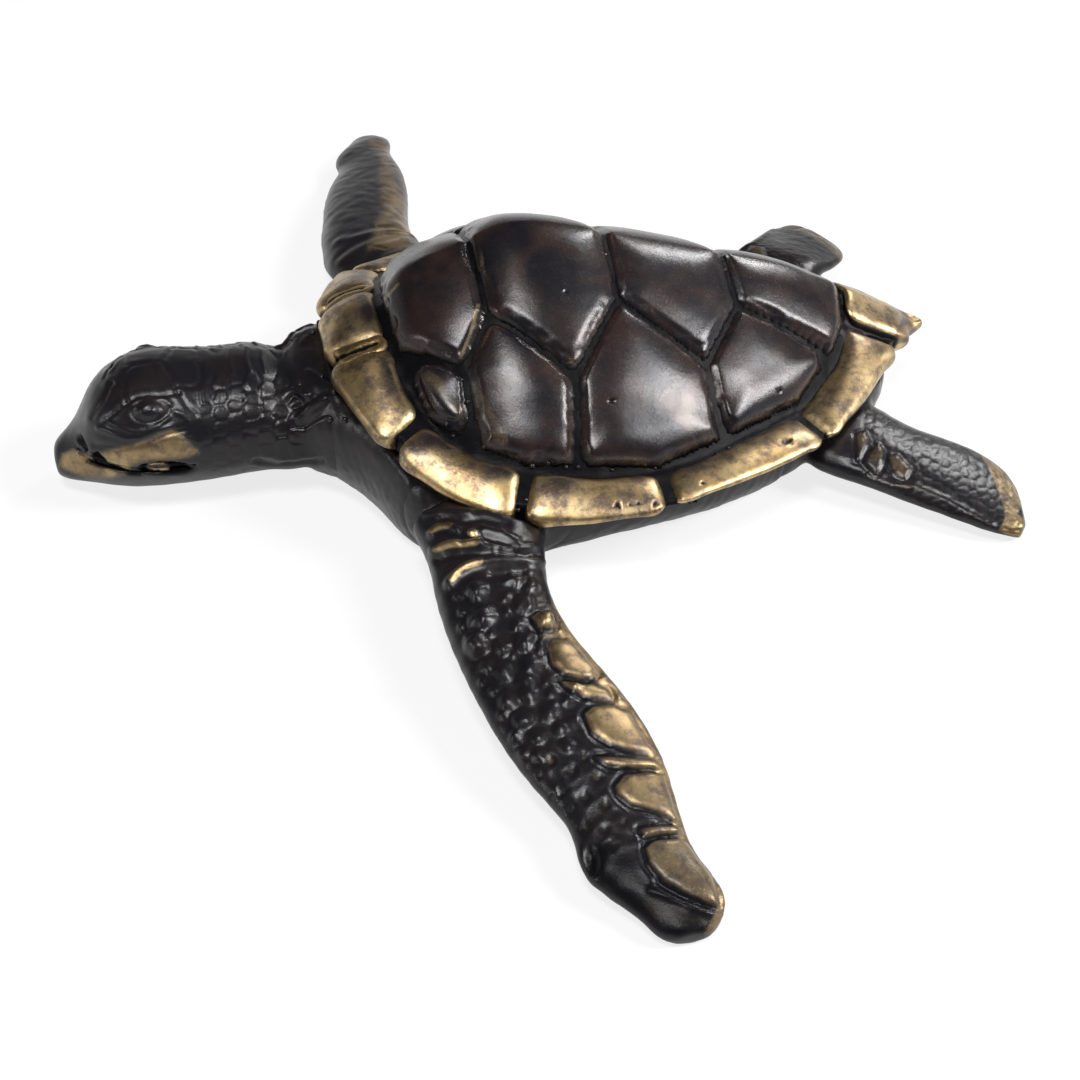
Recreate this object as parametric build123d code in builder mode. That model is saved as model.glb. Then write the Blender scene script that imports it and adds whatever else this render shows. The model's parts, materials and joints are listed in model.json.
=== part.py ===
from build123d import *
import os
from math import cos, radians, sin

# Cast bronze sea turtle in a swimming pose, drawn in millimetres.
# The head points along -X, the turtle's left side faces -Y and +Z is up.
# The origin is the middle of the flat belly, on the surface that the figurine stands on.

# Shell
shell_length = 122.0
shell_width = 95.6
shell_height = 46.0
plate_thickness = 1.8
groove_width = 1.5
plate_corner = 1.4
shell_wall = 2.6
seam_margin = 2.4
cut_overrun = 5.0

# Body and belly
body_length = 114.2
body_width = 89.0
body_height = 24.4
belly_wall = 3.0

# Head and neck
neck_joint_x = -66.0
head_length = 46.0
head_width = 28.8
head_height = 24.0
eye_radius = 3.4
mouth_width = 0.9
mouth_depth = 1.1
mouth_overrun = 6.0

# Front flippers: the heading is the angle behind straight sideways
front_reach = 79.0
left_front_chord = 21.5
right_front_chord = 19.0
front_thickness = 12.0
front_root = (-39.5, 44.0, 9.8)
left_front_heading = 0.0
right_front_heading = -9.0

# Rear flippers: the lift is how far the tip is raised
rear_reach = 37.2
rear_chord = 22.0
rear_thickness = 8.4
rear_root = (34.0, 24.0, 6.0)
left_rear_heading = 46.0
right_rear_heading = 39.0
right_rear_lift = 2.0

# Tail
tail_length = 14.0
tail_width = 11.0
tail_height = 8.4
tail_root = (45.0, 0.0, 5.8)

# Tenons that join the castings, and the brazing gap round them
neck_tenon_radius = 5.0
front_tenon_radius = 2.6
rear_tenon_radius = 2.0
tail_tenon_radius = 1.6
front_tenon_height = 7.4
neck_tenon_height = 11.4
tenon_length = 7.0
tenon_root = 5.0
braze_gap = 0.1

half_length = shell_length / 2
half_width = shell_width / 2
belly_half = body_width / 2
tall = 2 * shell_height
up = (0, 0, 1)

# Crown of the shell at stations along its length: station and side places as shares of the
# half length and half width, heights as shares of the shell's height.
# Each row: along, ridge up, seam out, seam up, edge out, edge up, underside up.
crown_shares = [
    (-1.066, 0.587, 0.17, 0.583, 0.44, 0.565, 0.500),
    (-0.951, 0.643, 0.20, 0.615, 0.54, 0.522, 0.461),
    (-0.869, 0.683, 0.21, 0.652, 0.67, 0.478, 0.409),
    (-0.795, 0.740, 0.36, 0.600, 0.78, 0.426, 0.363),
    (-0.705, 0.860, 0.61, 0.491, 0.90, 0.383, 0.320),
    (-0.590, 0.935, 0.73, 0.457, 0.98, 0.352, 0.283),
    (-0.459, 1.000, 0.79, 0.430, 1.03, 0.335, 0.270),
    (-0.262, 0.974, 0.81, 0.391, 1.05, 0.333, 0.276),
    (-0.066, 0.896, 0.78, 0.365, 1.03, 0.333, 0.283),
    (0.148, 0.809, 0.67, 0.357, 0.94, 0.330, 0.276),
    (0.344, 0.730, 0.54, 0.339, 0.83, 0.317, 0.259),
    (0.508, 0.648, 0.40, 0.354, 0.69, 0.309, 0.250),
    (0.639, 0.543, 0.21, 0.426, 0.52, 0.304, 0.245),
    (0.770, 0.448, 0.17, 0.388, 0.40, 0.305, 0.237),
    (0.902, 0.355, 0.13, 0.335, 0.33, 0.287, 0.230),
    (1.066, 0.255, 0.10, 0.250, 0.30, 0.238, 0.170),
]
keel_share = 0.2
crown_upper_share = 0.333
crown_lower_share = 0.667
crown_slope_share = 0.51

# Half of the rim's outline and of the seam between crown and rim, front to tail.
rim_shares = [
    (-1.016, 0.00), (-0.990, 0.19), (-0.935, 0.43), (-0.820, 0.70), (-0.656, 0.885),
    (-0.410, 0.985), (-0.164, 0.995), (0.080, 0.92), (0.330, 0.785), (0.520, 0.62),
    (0.690, 0.40), (0.830, 0.185), (0.910, 0.085), (0.992, 0.00),
]
seam_shares = [
    (-0.820, 0.00), (-0.805, 0.25), (-0.757, 0.53), (-0.626, 0.69), (-0.503, 0.775),
    (-0.330, 0.805), (-0.120, 0.800), (0.105, 0.69), (0.393, 0.50), (0.550, 0.31),
    (0.625, 0.18), (0.660, 0.00),
]

# Corners of the plates on the crown, left half. A vertebral's outline is closed by its mirror.
vertebral_shares = [
    [(-0.820, 0.00), (-0.805, 0.25), (-0.634, 0.45), (-0.541, 0.31), (-0.554, 0.00)],
    [(-0.554, 0.00), (-0.541, 0.31), (-0.322, 0.55), (-0.145, 0.27), (-0.139, 0.00)],
    [(-0.139, 0.00), (-0.145, 0.27), (0.094, 0.46), (0.248, 0.21), (0.243, 0.00)],
    [(0.243, 0.00), (0.248, 0.21), (0.550, 0.31), (0.625, 0.18), (0.660, 0.00)],
]
costal_shares = [
    [(-0.805, 0.25), (-0.757, 0.53), (-0.626, 0.69), (-0.634, 0.45)],
    [(-0.634, 0.45), (-0.626, 0.69), (-0.503, 0.775), (-0.358, 0.80), (-0.322, 0.55), (-0.541, 0.31)],
    [(-0.322, 0.55), (-0.358, 0.80), (-0.120, 0.80), (0.105, 0.69), (0.094, 0.46), (-0.145, 0.27)],
    [(0.094, 0.46), (0.105, 0.69), (0.393, 0.50), (0.550, 0.31), (0.248, 0.21)],
]

# Cuts between the rim plates, left half: seam end and rim end, front to tail.
rim_cut_shares = [
    ((-0.815, 0.20), (-1.010, 0.13)),
    ((-0.760, 0.52), (-0.900, 0.66)),
    ((-0.500, 0.775), (-0.556, 1.04)),
    ((-0.113, 0.81), (-0.105, 1.08)),
    ((0.375, 0.52), (0.455, 0.78)),
    ((0.640, 0.15), (0.830, 0.17)),
]
rim_reach_share = 1.15
rim_bulge_share = 1.25

# Body sections: back from the neck joint, floor half, belly up, side half, side up, top half,
# top up. Some belly rows dip below the floor and are cut flat there.
body_shares = [
    (0.000, 0.12, 0.060, 0.320, 0.47, 0.12, 0.878),
    (0.035, 0.18, 0.040, 0.385, 0.43, 0.22, 0.885),
    (0.079, 0.29, 0.012, 0.520, 0.38, 0.32, 0.840),
    (0.140, 0.49, 0.000, 0.800, 0.35, 0.66, 0.690),
    (0.236, 0.63, -0.040, 0.935, 0.32, 0.86, 0.590),
    (0.385, 0.70, -0.050, 0.920, 0.25, 0.87, 0.560),
    (0.578, 0.67, -0.050, 0.845, 0.22, 0.80, 0.570),
    (0.749, 0.52, -0.050, 0.695, 0.22, 0.64, 0.540),
    (0.888, 0.31, -0.050, 0.470, 0.22, 0.41, 0.520),
    (1.000, 0.10, 0.000, 0.200, 0.26, 0.16, 0.500),
]

# Half of the hollow's outline in the body, as shares of the body's length and half width
cavity_shares = [
    (0.177, 0.00), (0.199, 0.35), (0.268, 0.56), (0.397, 0.64), (0.578, 0.62),
    (0.706, 0.48), (0.797, 0.28), (0.845, 0.00),
]

# Head sections: back from the beak, half width, underside and top as shares of the height.
head_shares = [
    (0.000, 0.153, 0.117, 0.292),
    (0.030, 0.290, 0.075, 0.400),
    (0.100, 0.445, 0.050, 0.540),
    (0.174, 0.653, 0.038, 0.775),
    (0.270, 0.854, 0.025, 0.933),
    (0.370, 0.958, 0.021, 0.996),
    (0.520, 1.000, 0.025, 0.983),
    (0.700, 0.972, 0.038, 0.950),
    (0.850, 0.958, 0.050, 0.917),
    (1.000, 0.986, 0.058, 0.892),
]
eye_along_share = 0.407
eye_out_share = 0.552
eye_up_share = 0.775
mouth_front_share = 0.10
mouth_back_share = 0.56
mouth_up_share = 0.44

# Front flipper sections: out, leading and trailing edge from the root's middle as shares of
# the chord, middle height as a share of the root's height, thickness.
front_shares = [
    (-0.076, -0.54, 0.54, 1.00, 1.08),
    (0.025, -0.49, 0.47, 1.00, 1.00),
    (0.152, -0.49, 0.38, 0.95, 0.88),
    (0.304, -0.45, 0.44, 0.86, 0.79),
    (0.456, -0.35, 0.65, 0.75, 0.71),
    (0.582, -0.22, 0.78, 0.64, 0.63),
    (0.676, -0.07, 0.81, 0.55, 0.58),
    (0.759, 0.04, 0.80, 0.47, 0.52),
    (0.835, 0.05, 0.82, 0.40, 0.47),
    (0.899, 0.20, 0.90, 0.33, 0.42),
    (0.949, 0.35, 0.90, 0.26, 0.35),
    (0.991, 0.53, 0.75, 0.18, 0.25),
]

# Rear flipper sections: out, outer edge, inner edge, middle height, thickness.
rear_shares = [
    (-0.215, -0.41, 0.41, 1.05, 0.96),
    (-0.080, -0.46, 0.46, 1.03, 0.98),
    (0.054, -0.49, 0.50, 1.00, 1.00),
    (0.242, -0.46, 0.44, 0.92, 0.88),
    (0.457, -0.43, 0.49, 0.77, 0.76),
    (0.645, -0.39, 0.51, 0.63, 0.64),
    (0.780, -0.36, 0.44, 0.52, 0.55),
    (0.887, -0.32, 0.27, 0.43, 0.45),
    (0.968, -0.26, 0.02, 0.35, 0.36),
    (1.000, -0.22, -0.08, 0.30, 0.29),
]

# How far an oval's outline is drawn out to its corners
oval_share = 0.552

# Tail sections: along, half width, middle height, thickness.
tail_shares = [
    (0.00, 1.00, 1.00, 1.00),
    (0.40, 0.72, 1.12, 0.80),
    (0.75, 0.40, 1.30, 0.52),
    (1.00, 0.14, 1.45, 0.24),
]


def plan(share_points, inset=0):
    """Places in the shell's plan, from shares of its half length and half width less inset."""
    return [(along * (half_length - inset), out * (half_width - inset)) for along, out in share_points]


def body_plan(share_points):
    """Places in the body's plan, from shares of its length behind the neck and of its half width."""
    return [(neck_joint_x + along * body_length, out * belly_half) for along, out in share_points]


def both_halves(points):
    """A closed outline: the given half, then its mirror back to the start."""
    return points + [(along, -out) for along, out in reversed(points) if out > 0]


def smooth_half_face(points):
    """A face in plan whose half outline is one smooth line through points, and its mirror."""
    with BuildSketch() as outline:
        with BuildLine():
            Spline(*points)
            mirror(about=Plane.XZ)
        make_face()
    return outline.sketch


def crown_block(drop, under_drop):
    """The crown of the shell as a block, lowered by drop, its underside lowered by under_drop."""
    with BuildPart() as block:
        for along, ridge, seam_out, seam_up, edge_out, edge_up, under in crown_shares:
            ridge_z = ridge * shell_height - drop
            seam_y, seam_z = seam_out * half_width, seam_up * shell_height - drop
            edge_y, edge_z = edge_out * half_width, edge_up * shell_height - drop
            under_z = under * shell_height - under_drop
            rise = ridge_z - seam_z
            upper = (seam_y * crown_upper_share, ridge_z - rise * keel_share)
            lower = (seam_y * crown_lower_share, seam_z + rise * crown_slope_share)
            with BuildSketch(Plane.YZ.offset(along * half_length)):
                with BuildLine():
                    Bezier((0, ridge_z), upper, lower, (seam_y, seam_z))
                    Polyline((seam_y, seam_z), (edge_y, edge_z), (edge_y, under_z), (0, under_z))
                    mirror(about=Plane.YZ)
                make_face()
        loft()
    return block.part


def ring_loft(rings):
    """A smooth block through ovals. Each ring: middle, across, through, half sizes."""
    with BuildPart() as block:
        for middle, across, through, half_across, half_up in rings:
            side, crest = half_across * oval_share, half_up * oval_share
            with BuildSketch(Plane(origin=middle, x_dir=across, z_dir=through)):
                with BuildLine():
                    Bezier((half_across, 0), (half_across, crest), (side, half_up), (0, half_up))
                    mirror(about=Plane.YZ)
                    mirror(about=Plane.XZ)
                make_face()
        loft()
    return block.part


def head_block(inset):
    """Head and neck as one tapering block, smaller all round by inset."""
    rings = []
    for along, half, under, top in head_shares:
        middle = (neck_joint_x - head_length * (1 - along), 0, head_height * (under + top) / 2)
        half_up = head_height * (top - under) / 2 - inset
        rings.append((middle, (0, 1, 0), (1, 0, 0), half * head_width / 2 - inset, half_up))
    return ring_loft(rings)


def directions(side, heading):
    """Outward and chord directions of a flipper, heading degrees behind straight sideways."""
    turn = radians(heading)
    return Vector(sin(turn), side * cos(turn), 0), Vector(cos(turn), -side * sin(turn), 0)


def flipper_block(root, side, heading, lift, rows, reach, chord, thickness):
    """A flipper as a block through ovals, from inside the body out to its tip."""
    out, across = directions(side, heading)
    rings = []
    for along, fore, aft, height, thick in rows:
        middle = Vector(root[0], side * root[1], height * root[2] + along * lift)
        middle += out * (along * reach) + across * (chord * (fore + aft) / 2)
        rings.append((middle, across, out, chord * (aft - fore) / 2, thick * thickness / 2))
    return ring_loft(rings)


def peg(start, direction, radius, length):
    """A round peg from start along direction."""
    with BuildPart() as rod:
        with BuildSketch(Plane(origin=start, z_dir=direction)):
            Circle(radius)
        extrude(amount=length)
    return rod.part


def tenon(start, outward, radius, gap):
    """A limb's tenon, running inward from start; with a gap it is the socket for it."""
    return peg(start, -outward, radius + gap, tenon_root + tenon_length + gap)


def tenoned(block, place):
    """A limb cut to the sides of the body and shell, with its tenon."""
    with BuildPart() as limb:
        add(block)
        add(body_form.part, mode=Mode.SUBTRACT)
        add(skin.part, mode=Mode.SUBTRACT)
        add(limb.part.solids().sort_by(SortBy.VOLUME)[-1], mode=Mode.REPLACE)
        add(tenon(*place, 0))
    return limb.part


def beyond(point, share):
    """A plan place moved out from the shell's middle by a share."""
    return point[0] * share, point[1] * share


def raised_plate(points, side):
    """One raised plate: the skin over an outline in plan, less half a groove all round."""
    corners = [(along, side * out) for along, out in points]
    with BuildPart() as raised:
        with BuildSketch():
            with BuildLine():
                Polyline(*corners, close=True)
            make_face()
            offset(amount=-groove_width / 2 - plate_corner, kind=Kind.INTERSECTION)
            offset(amount=plate_corner, kind=Kind.ARC)
        extrude(amount=tall, dir=up)
        add(skin.part, mode=Mode.INTERSECT)
        add(core.part, mode=Mode.SUBTRACT)
    return raised.part


def keep(piece, name):
    """Label a finished piece and write it to its own file."""
    piece.label = name
    export_step(piece, "parts/" + name + ".step")


os.makedirs("parts", exist_ok=True)

# Outer skin of the shell, at the tops of the plates
with BuildPart() as skin:
    add(crown_block(0, 0))
    extrude(smooth_half_face(plan(rim_shares)), tall, dir=up, mode=Mode.INTERSECT)

# Groove floor under the plates
with BuildPart() as core:
    add(crown_block(plate_thickness, 0))
    extrude(smooth_half_face(plan(rim_shares, plate_thickness)), tall, dir=up, mode=Mode.INTERSECT)

# Hollow of the dome, open below
with BuildPart() as dome_hollow:
    add(crown_block(plate_thickness + shell_wall, cut_overrun))
    extrude(smooth_half_face(plan(seam_shares, seam_margin)), tall, dir=up, mode=Mode.INTERSECT)

with BuildPart() as carapace:
    add(core.part)
    add(dome_hollow.part, mode=Mode.SUBTRACT)
keep(carapace.part, "carapace")

# Plates along the spine
for number, shares in enumerate(vertebral_shares, 1):
    keep(raised_plate(both_halves(plan(shares)), 1), f"vertebral_plate_{number}")

# Plates between spine and rim
for number, shares in enumerate(costal_shares, 1):
    keep(raised_plate(plan(shares), -1), f"costal_plate_left_{number}")
    keep(raised_plate(plan(shares), 1), f"costal_plate_right_{number}")

# Rim plates, each between two cuts
for number, (fore_cut, aft_cut) in enumerate(zip(rim_cut_shares, rim_cut_shares[1:]), 1):
    seam = [p for p in seam_shares if fore_cut[0][0] < p[0] < aft_cut[0][0]]
    middle = ((fore_cut[1][0] + aft_cut[1][0]) / 2, (fore_cut[1][1] + aft_cut[1][1]) / 2)
    shares = [fore_cut[0], *seam, aft_cut[0], beyond(aft_cut[1], rim_reach_share)]
    shares += [beyond(middle, rim_bulge_share), beyond(fore_cut[1], rim_reach_share)]
    keep(raised_plate(plan(shares), -1), f"rim_plate_left_{number}")
    keep(raised_plate(plan(shares), 1), f"rim_plate_right_{number}")

# Plates on the midline at the nape and over the tail
nape_seam, nape_rim = rim_cut_shares[0]
tail_seam, tail_rim = rim_cut_shares[-1]
nape_shares = [(seam_shares[0][0], 0), nape_seam, beyond(nape_rim, rim_reach_share)]
nape_shares += [(rim_shares[0][0] * rim_bulge_share, 0)]
tail_plate_shares = [(seam_shares[-1][0], 0), tail_seam, beyond(tail_rim, rim_reach_share)]
tail_plate_shares += [(rim_shares[-1][0] * rim_bulge_share, tail_rim[1])]
tail_plate_shares += [(rim_shares[-1][0] * rim_bulge_share, 0)]
keep(raised_plate(both_halves(plan(nape_shares)), 1), "nape_plate")
keep(raised_plate(both_halves(plan(tail_plate_shares)), 1), "tail_plate")

# Body with the flat belly, before its sockets are cut
with BuildPart() as body_form:
    for along, floor, belly, side, side_up, top, top_up in body_shares:
        floor_y, side_y, top_y = floor * belly_half, side * belly_half, top * belly_half
        belly_z, side_z, top_z = belly * body_height, side_up * body_height, top_up * body_height
        with BuildSketch(Plane.YZ.offset(neck_joint_x + along * body_length)):
            with BuildLine():
                Line((0, belly_z), (floor_y, belly_z))
                ThreePointArc((floor_y, belly_z), (side_y, side_z), (top_y, top_z))
                Line((top_y, top_z), (0, top_z))
                mirror(about=Plane.YZ)
            make_face()
    loft()
    split(bisect_by=Plane.XY, keep=Keep.TOP)
    add(skin.part, mode=Mode.SUBTRACT)

# Places of the tenons: where each starts in its limb, which way the limb points, its radius
left_front_out, _ = directions(-1, left_front_heading)
right_front_out, _ = directions(1, right_front_heading)
left_rear_out, _ = directions(-1, left_rear_heading)
right_rear_out, _ = directions(1, right_rear_heading)
front_x, front_y, _ = front_root
rear_x, rear_y, rear_z = rear_root
left_front_start = Vector(front_x, -front_y, front_tenon_height) + left_front_out * tenon_root
right_front_start = Vector(front_x, front_y, front_tenon_height) + right_front_out * tenon_root
left_rear_start = Vector(rear_x, -rear_y, rear_z) + left_rear_out * tenon_root
right_rear_start = Vector(rear_x, rear_y, rear_z) + right_rear_out * tenon_root
neck_place = (Vector(neck_joint_x - tenon_root, 0, neck_tenon_height), Vector(-1, 0, 0), neck_tenon_radius)
tail_place = (Vector(*tail_root) + Vector(tenon_root, 0, 0), Vector(1, 0, 0), tail_tenon_radius)
left_front_place = (left_front_start, left_front_out, front_tenon_radius)
right_front_place = (right_front_start, right_front_out, front_tenon_radius)
left_rear_place = (left_rear_start, left_rear_out, rear_tenon_radius)
right_rear_place = (right_rear_start, right_rear_out, rear_tenon_radius)

# Body: a tray with a flat belly, hollow above its floor, with the limbs' sockets
with BuildPart() as body:
    add(body_form.part)
    with BuildSketch(Plane.XY.offset(belly_wall)):
        add(smooth_half_face(body_plan(cavity_shares)))
    extrude(amount=tall, dir=up, mode=Mode.SUBTRACT)
    for place in (neck_place, tail_place, left_front_place, right_front_place, left_rear_place,
                  right_rear_place):
        add(tenon(*place, braze_gap), mode=Mode.SUBTRACT)
keep(body.part, "body")

# Head and neck, with bulging eyes and the line of the mouth cut into the sides
beak_x = neck_joint_x - head_length
mouth_middle = beak_x + head_length * (mouth_front_share + mouth_back_share) / 2
with BuildPart() as mouth_cut:
    with BuildSketch(Plane.XY.offset(head_height * mouth_up_share - mouth_width / 2)):
        with Locations((mouth_middle, 0)):
            Rectangle(head_length * (mouth_back_share - mouth_front_share), head_width + mouth_overrun)
    extrude(amount=mouth_width)
    add(head_block(mouth_depth), mode=Mode.SUBTRACT)

with BuildPart() as head_and_neck:
    add(head_block(0))
    eye_x, eye_y = beak_x + head_length * eye_along_share, eye_out_share * head_width / 2
    with Locations((eye_x, eye_y, eye_up_share * head_height), (eye_x, -eye_y, eye_up_share * head_height)):
        Sphere(eye_radius)
    add(mouth_cut.part, mode=Mode.SUBTRACT)
    add(tenon(*neck_place, 0))
keep(head_and_neck.part, "head_and_neck")

# Front flippers
left_form = (front_shares, front_reach, left_front_chord, front_thickness)
right_form = (front_shares, front_reach, right_front_chord, front_thickness)
left_front = flipper_block(front_root, -1, left_front_heading, 0, *left_form)
right_front = flipper_block(front_root, 1, right_front_heading, 0, *right_form)
keep(tenoned(left_front, left_front_place), "front_left_flipper")
keep(tenoned(right_front, right_front_place), "front_right_flipper")

# Rear flippers
rear_form = (rear_shares, rear_reach, rear_chord, rear_thickness)
left_rear = flipper_block(rear_root, -1, left_rear_heading, 0, *rear_form)
right_rear = flipper_block(rear_root, 1, right_rear_heading, right_rear_lift, *rear_form)
keep(tenoned(left_rear, left_rear_place), "rear_left_flipper")
keep(tenoned(right_rear, right_rear_place), "rear_right_flipper")

# Tail, a short cone under the tail plate
tail_rings = []
for along, half, height, thick in tail_shares:
    middle = (tail_root[0] + along * tail_length, 0, height * tail_root[2])
    tail_rings.append((middle, (0, 1, 0), (1, 0, 0), half * tail_width / 2, thick * tail_height / 2))
keep(tenoned(ring_loft(tail_rings), tail_place), "tail")
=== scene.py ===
"""The turtle figurine as it looks: a casting with a dark patina over brass, rubbed bright at edges.

Every piece starts from the solid that carries it. A copy of the solid gets a fine even skin, its
edges are softened as a casting's are, and scales, folds, seams and pits are worked into it.
"""

import json
import logging
import math
from dataclasses import dataclass, field
from enum import Enum
from typing import Callable, Sequence

import bpy
import bmesh
import numpy as np
from mathutils import Matrix, Vector
from mathutils.bvhtree import BVHTree
from mathutils.kdtree import KDTree

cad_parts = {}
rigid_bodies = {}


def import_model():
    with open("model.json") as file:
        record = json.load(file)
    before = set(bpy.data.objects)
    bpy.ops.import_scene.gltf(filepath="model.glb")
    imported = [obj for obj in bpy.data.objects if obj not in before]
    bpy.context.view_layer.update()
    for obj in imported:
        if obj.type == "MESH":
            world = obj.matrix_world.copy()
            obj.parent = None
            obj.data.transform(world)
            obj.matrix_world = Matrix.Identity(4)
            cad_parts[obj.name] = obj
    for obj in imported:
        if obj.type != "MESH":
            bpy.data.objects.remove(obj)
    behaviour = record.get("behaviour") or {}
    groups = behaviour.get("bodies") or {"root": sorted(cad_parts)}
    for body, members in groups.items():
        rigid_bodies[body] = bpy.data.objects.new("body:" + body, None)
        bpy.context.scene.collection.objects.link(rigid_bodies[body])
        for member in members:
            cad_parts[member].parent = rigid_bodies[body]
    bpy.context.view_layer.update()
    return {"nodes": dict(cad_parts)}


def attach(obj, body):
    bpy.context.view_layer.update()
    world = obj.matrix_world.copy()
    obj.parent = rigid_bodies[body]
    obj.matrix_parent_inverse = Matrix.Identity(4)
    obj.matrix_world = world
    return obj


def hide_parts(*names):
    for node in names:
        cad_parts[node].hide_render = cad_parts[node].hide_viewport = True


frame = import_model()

Colour = tuple[float, float, float, float]
Pixel = tuple[float, float]
Line = Sequence[Pixel]

MM = 0.001
FLOOR_GAP = 0.03
WELD_GAP = 0.002

log = logging.getLogger("turtle")


class Side(Enum):
    """The turtle's own left, towards the camera, and its right."""

    LEFT = -1
    RIGHT = 1


class Slot(Enum):
    """The record's material slots."""

    GROOVE = "groove_patina"
    SKIN = "skin_patina"
    PLATE = "plate_patina"
    BRASS = "rubbed_brass"


# Small helpers for shapes


def ease(value: np.ndarray, low: float, high: float) -> np.ndarray:
    """A smooth step from 0 at low to 1 at high.

    Args:
        value: What is stepped.
        low: Where the step starts.
        high: Where it ends; below low, the step falls.

    Returns:
        The step, between 0 and 1.
    """
    t = np.clip((value - low) / (high - low), 0.0, 1.0)
    return t * t * (3.0 - 2.0 * t)


def hump(gap: np.ndarray, half: float, middle: float = 0.0) -> np.ndarray:
    """A soft hump across a line, 1 where the gap is the middle one.

    Args:
        gap: Distance from the line.
        half: How far from the middle the hump has mostly died away.
        middle: The gap at which it stands highest.

    Returns:
        One value for each gap, between 0 and 1.
    """
    return np.exp(-((gap - middle) / half) ** 2)


def line_gap(places: np.ndarray, line: Line) -> np.ndarray:
    """Distance in the picture from each place to a line of straight runs.

    Args:
        places: Pixel places, one row each.
        line: The line's points.

    Returns:
        One distance for each place.
    """
    points = np.array(line, float)
    nearest = np.full(len(places), np.inf)
    for start, end in zip(points[:-1], points[1:]):
        run = end - start
        share = np.clip(((places - start) @ run) / max(float(run @ run), 1e-9), 0.0, 1.0)
        nearest = np.minimum(nearest, np.linalg.norm(places - start - share[:, None] * run, axis=1))
    return nearest


def ring_gap(places: np.ndarray, ring: Line) -> np.ndarray:
    """Distance from a closed outline in the picture, negative inside it.

    Args:
        places: Pixel places, one row each.
        ring: The outline's points, without the first one again.

    Returns:
        One signed distance for each place.
    """
    points = np.array(ring, float)
    inside = np.zeros(len(places), bool)
    for start, end in zip(points, np.roll(points, -1, axis=0)):
        crosses = (start[1] > places[:, 1]) != (end[1] > places[:, 1])
        rise = end[1] - start[1] if end[1] != start[1] else 1e-9
        meets = start[0] + (places[:, 1] - start[1]) * (end[0] - start[0]) / rise
        inside ^= crosses & (places[:, 0] < meets)
    gap = line_gap(places, list(ring) + [ring[0]])
    return np.where(inside, -gap, gap)


def oval_gap(places: np.ndarray, middle: Pixel, across: float, high: float,
             turn: float = 0.0) -> np.ndarray:
    """How far out each place lies from an oval's middle, 1 on its outline.

    Args:
        places: Pixel places, one row each.
        middle: The oval's middle.
        across: Half its length.
        high: Half its height.
        turn: Degrees that its length is turned down to the right.

    Returns:
        One value for each place.
    """
    angle = math.radians(turn)
    along = np.array([math.cos(angle), math.sin(angle)])
    off = np.array([-along[1], along[0]])
    rel = places - np.array(middle)
    return np.hypot(rel @ along / across, rel @ off / high)


def waves(places: np.ndarray, length: float, count: int, seed: int) -> np.ndarray:
    """Soft uneven lumps, as a sum of waves that run in random directions.

    Args:
        places: Points in millimetres, one row each.
        length: The usual distance from lump to lump.
        count: How many waves are added up.
        seed: Which set of waves.

    Returns:
        One value for each place, mostly between -1 and 1.
    """
    draw = np.random.default_rng(seed)
    heading = draw.normal(size=(count, places.shape[1]))
    heading /= np.linalg.norm(heading, axis=1)[:, None]
    pitch = length * draw.uniform(0.7, 1.5, count)
    start = draw.uniform(0.0, 2.0 * math.pi, count)
    total = np.sin(places @ (heading / pitch[:, None]).T * 2.0 * math.pi + start).sum(axis=1)
    return total / math.sqrt(count * 0.5) / 1.6


def cells(places: np.ndarray, middles: np.ndarray) -> tuple[np.ndarray, np.ndarray, np.ndarray]:
    """Nearest and next nearest of the middles to each place.

    Args:
        places: Flat places, one row each.
        middles: The cells' middles.

    Returns:
        Distance to the nearest, distance to the next, and which is nearest.
    """
    first = np.full(len(places), np.inf)
    second = np.full(len(places), np.inf)
    which = np.zeros(len(places), int)
    for number, middle in enumerate(middles):
        gap = np.linalg.norm(places - middle, axis=1)
        closer = gap < first
        second = np.where(closer, first, np.minimum(second, gap))
        which = np.where(closer, number, which)
        first = np.where(closer, gap, first)
    return first, second, which


def scattered(low: Pixel, high: Pixel, step: Pixel, jitter: float, seed: int) -> np.ndarray:
    """Uneven cell middles: a brick layout, each middle moved by a random share of the step.

    Args:
        low: The least place on both axes.
        high: The greatest place on both axes.
        step: The distance from middle to middle on both axes.
        jitter: The largest move, as a share of the step.
        seed: Which set of moves.

    Returns:
        The middles, one row each.
    """
    draw = np.random.default_rng(seed)
    rows = []
    for row, along in enumerate(np.arange(low[0], high[0], step[0])):
        for across in np.arange(low[1], high[1], step[1]):
            shift = draw.uniform(-jitter, jitter, 2) * step
            rows.append((along + shift[0], across + (row % 2) * step[1] / 2 + shift[1]))
    return np.array(rows)


# The camera


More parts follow.
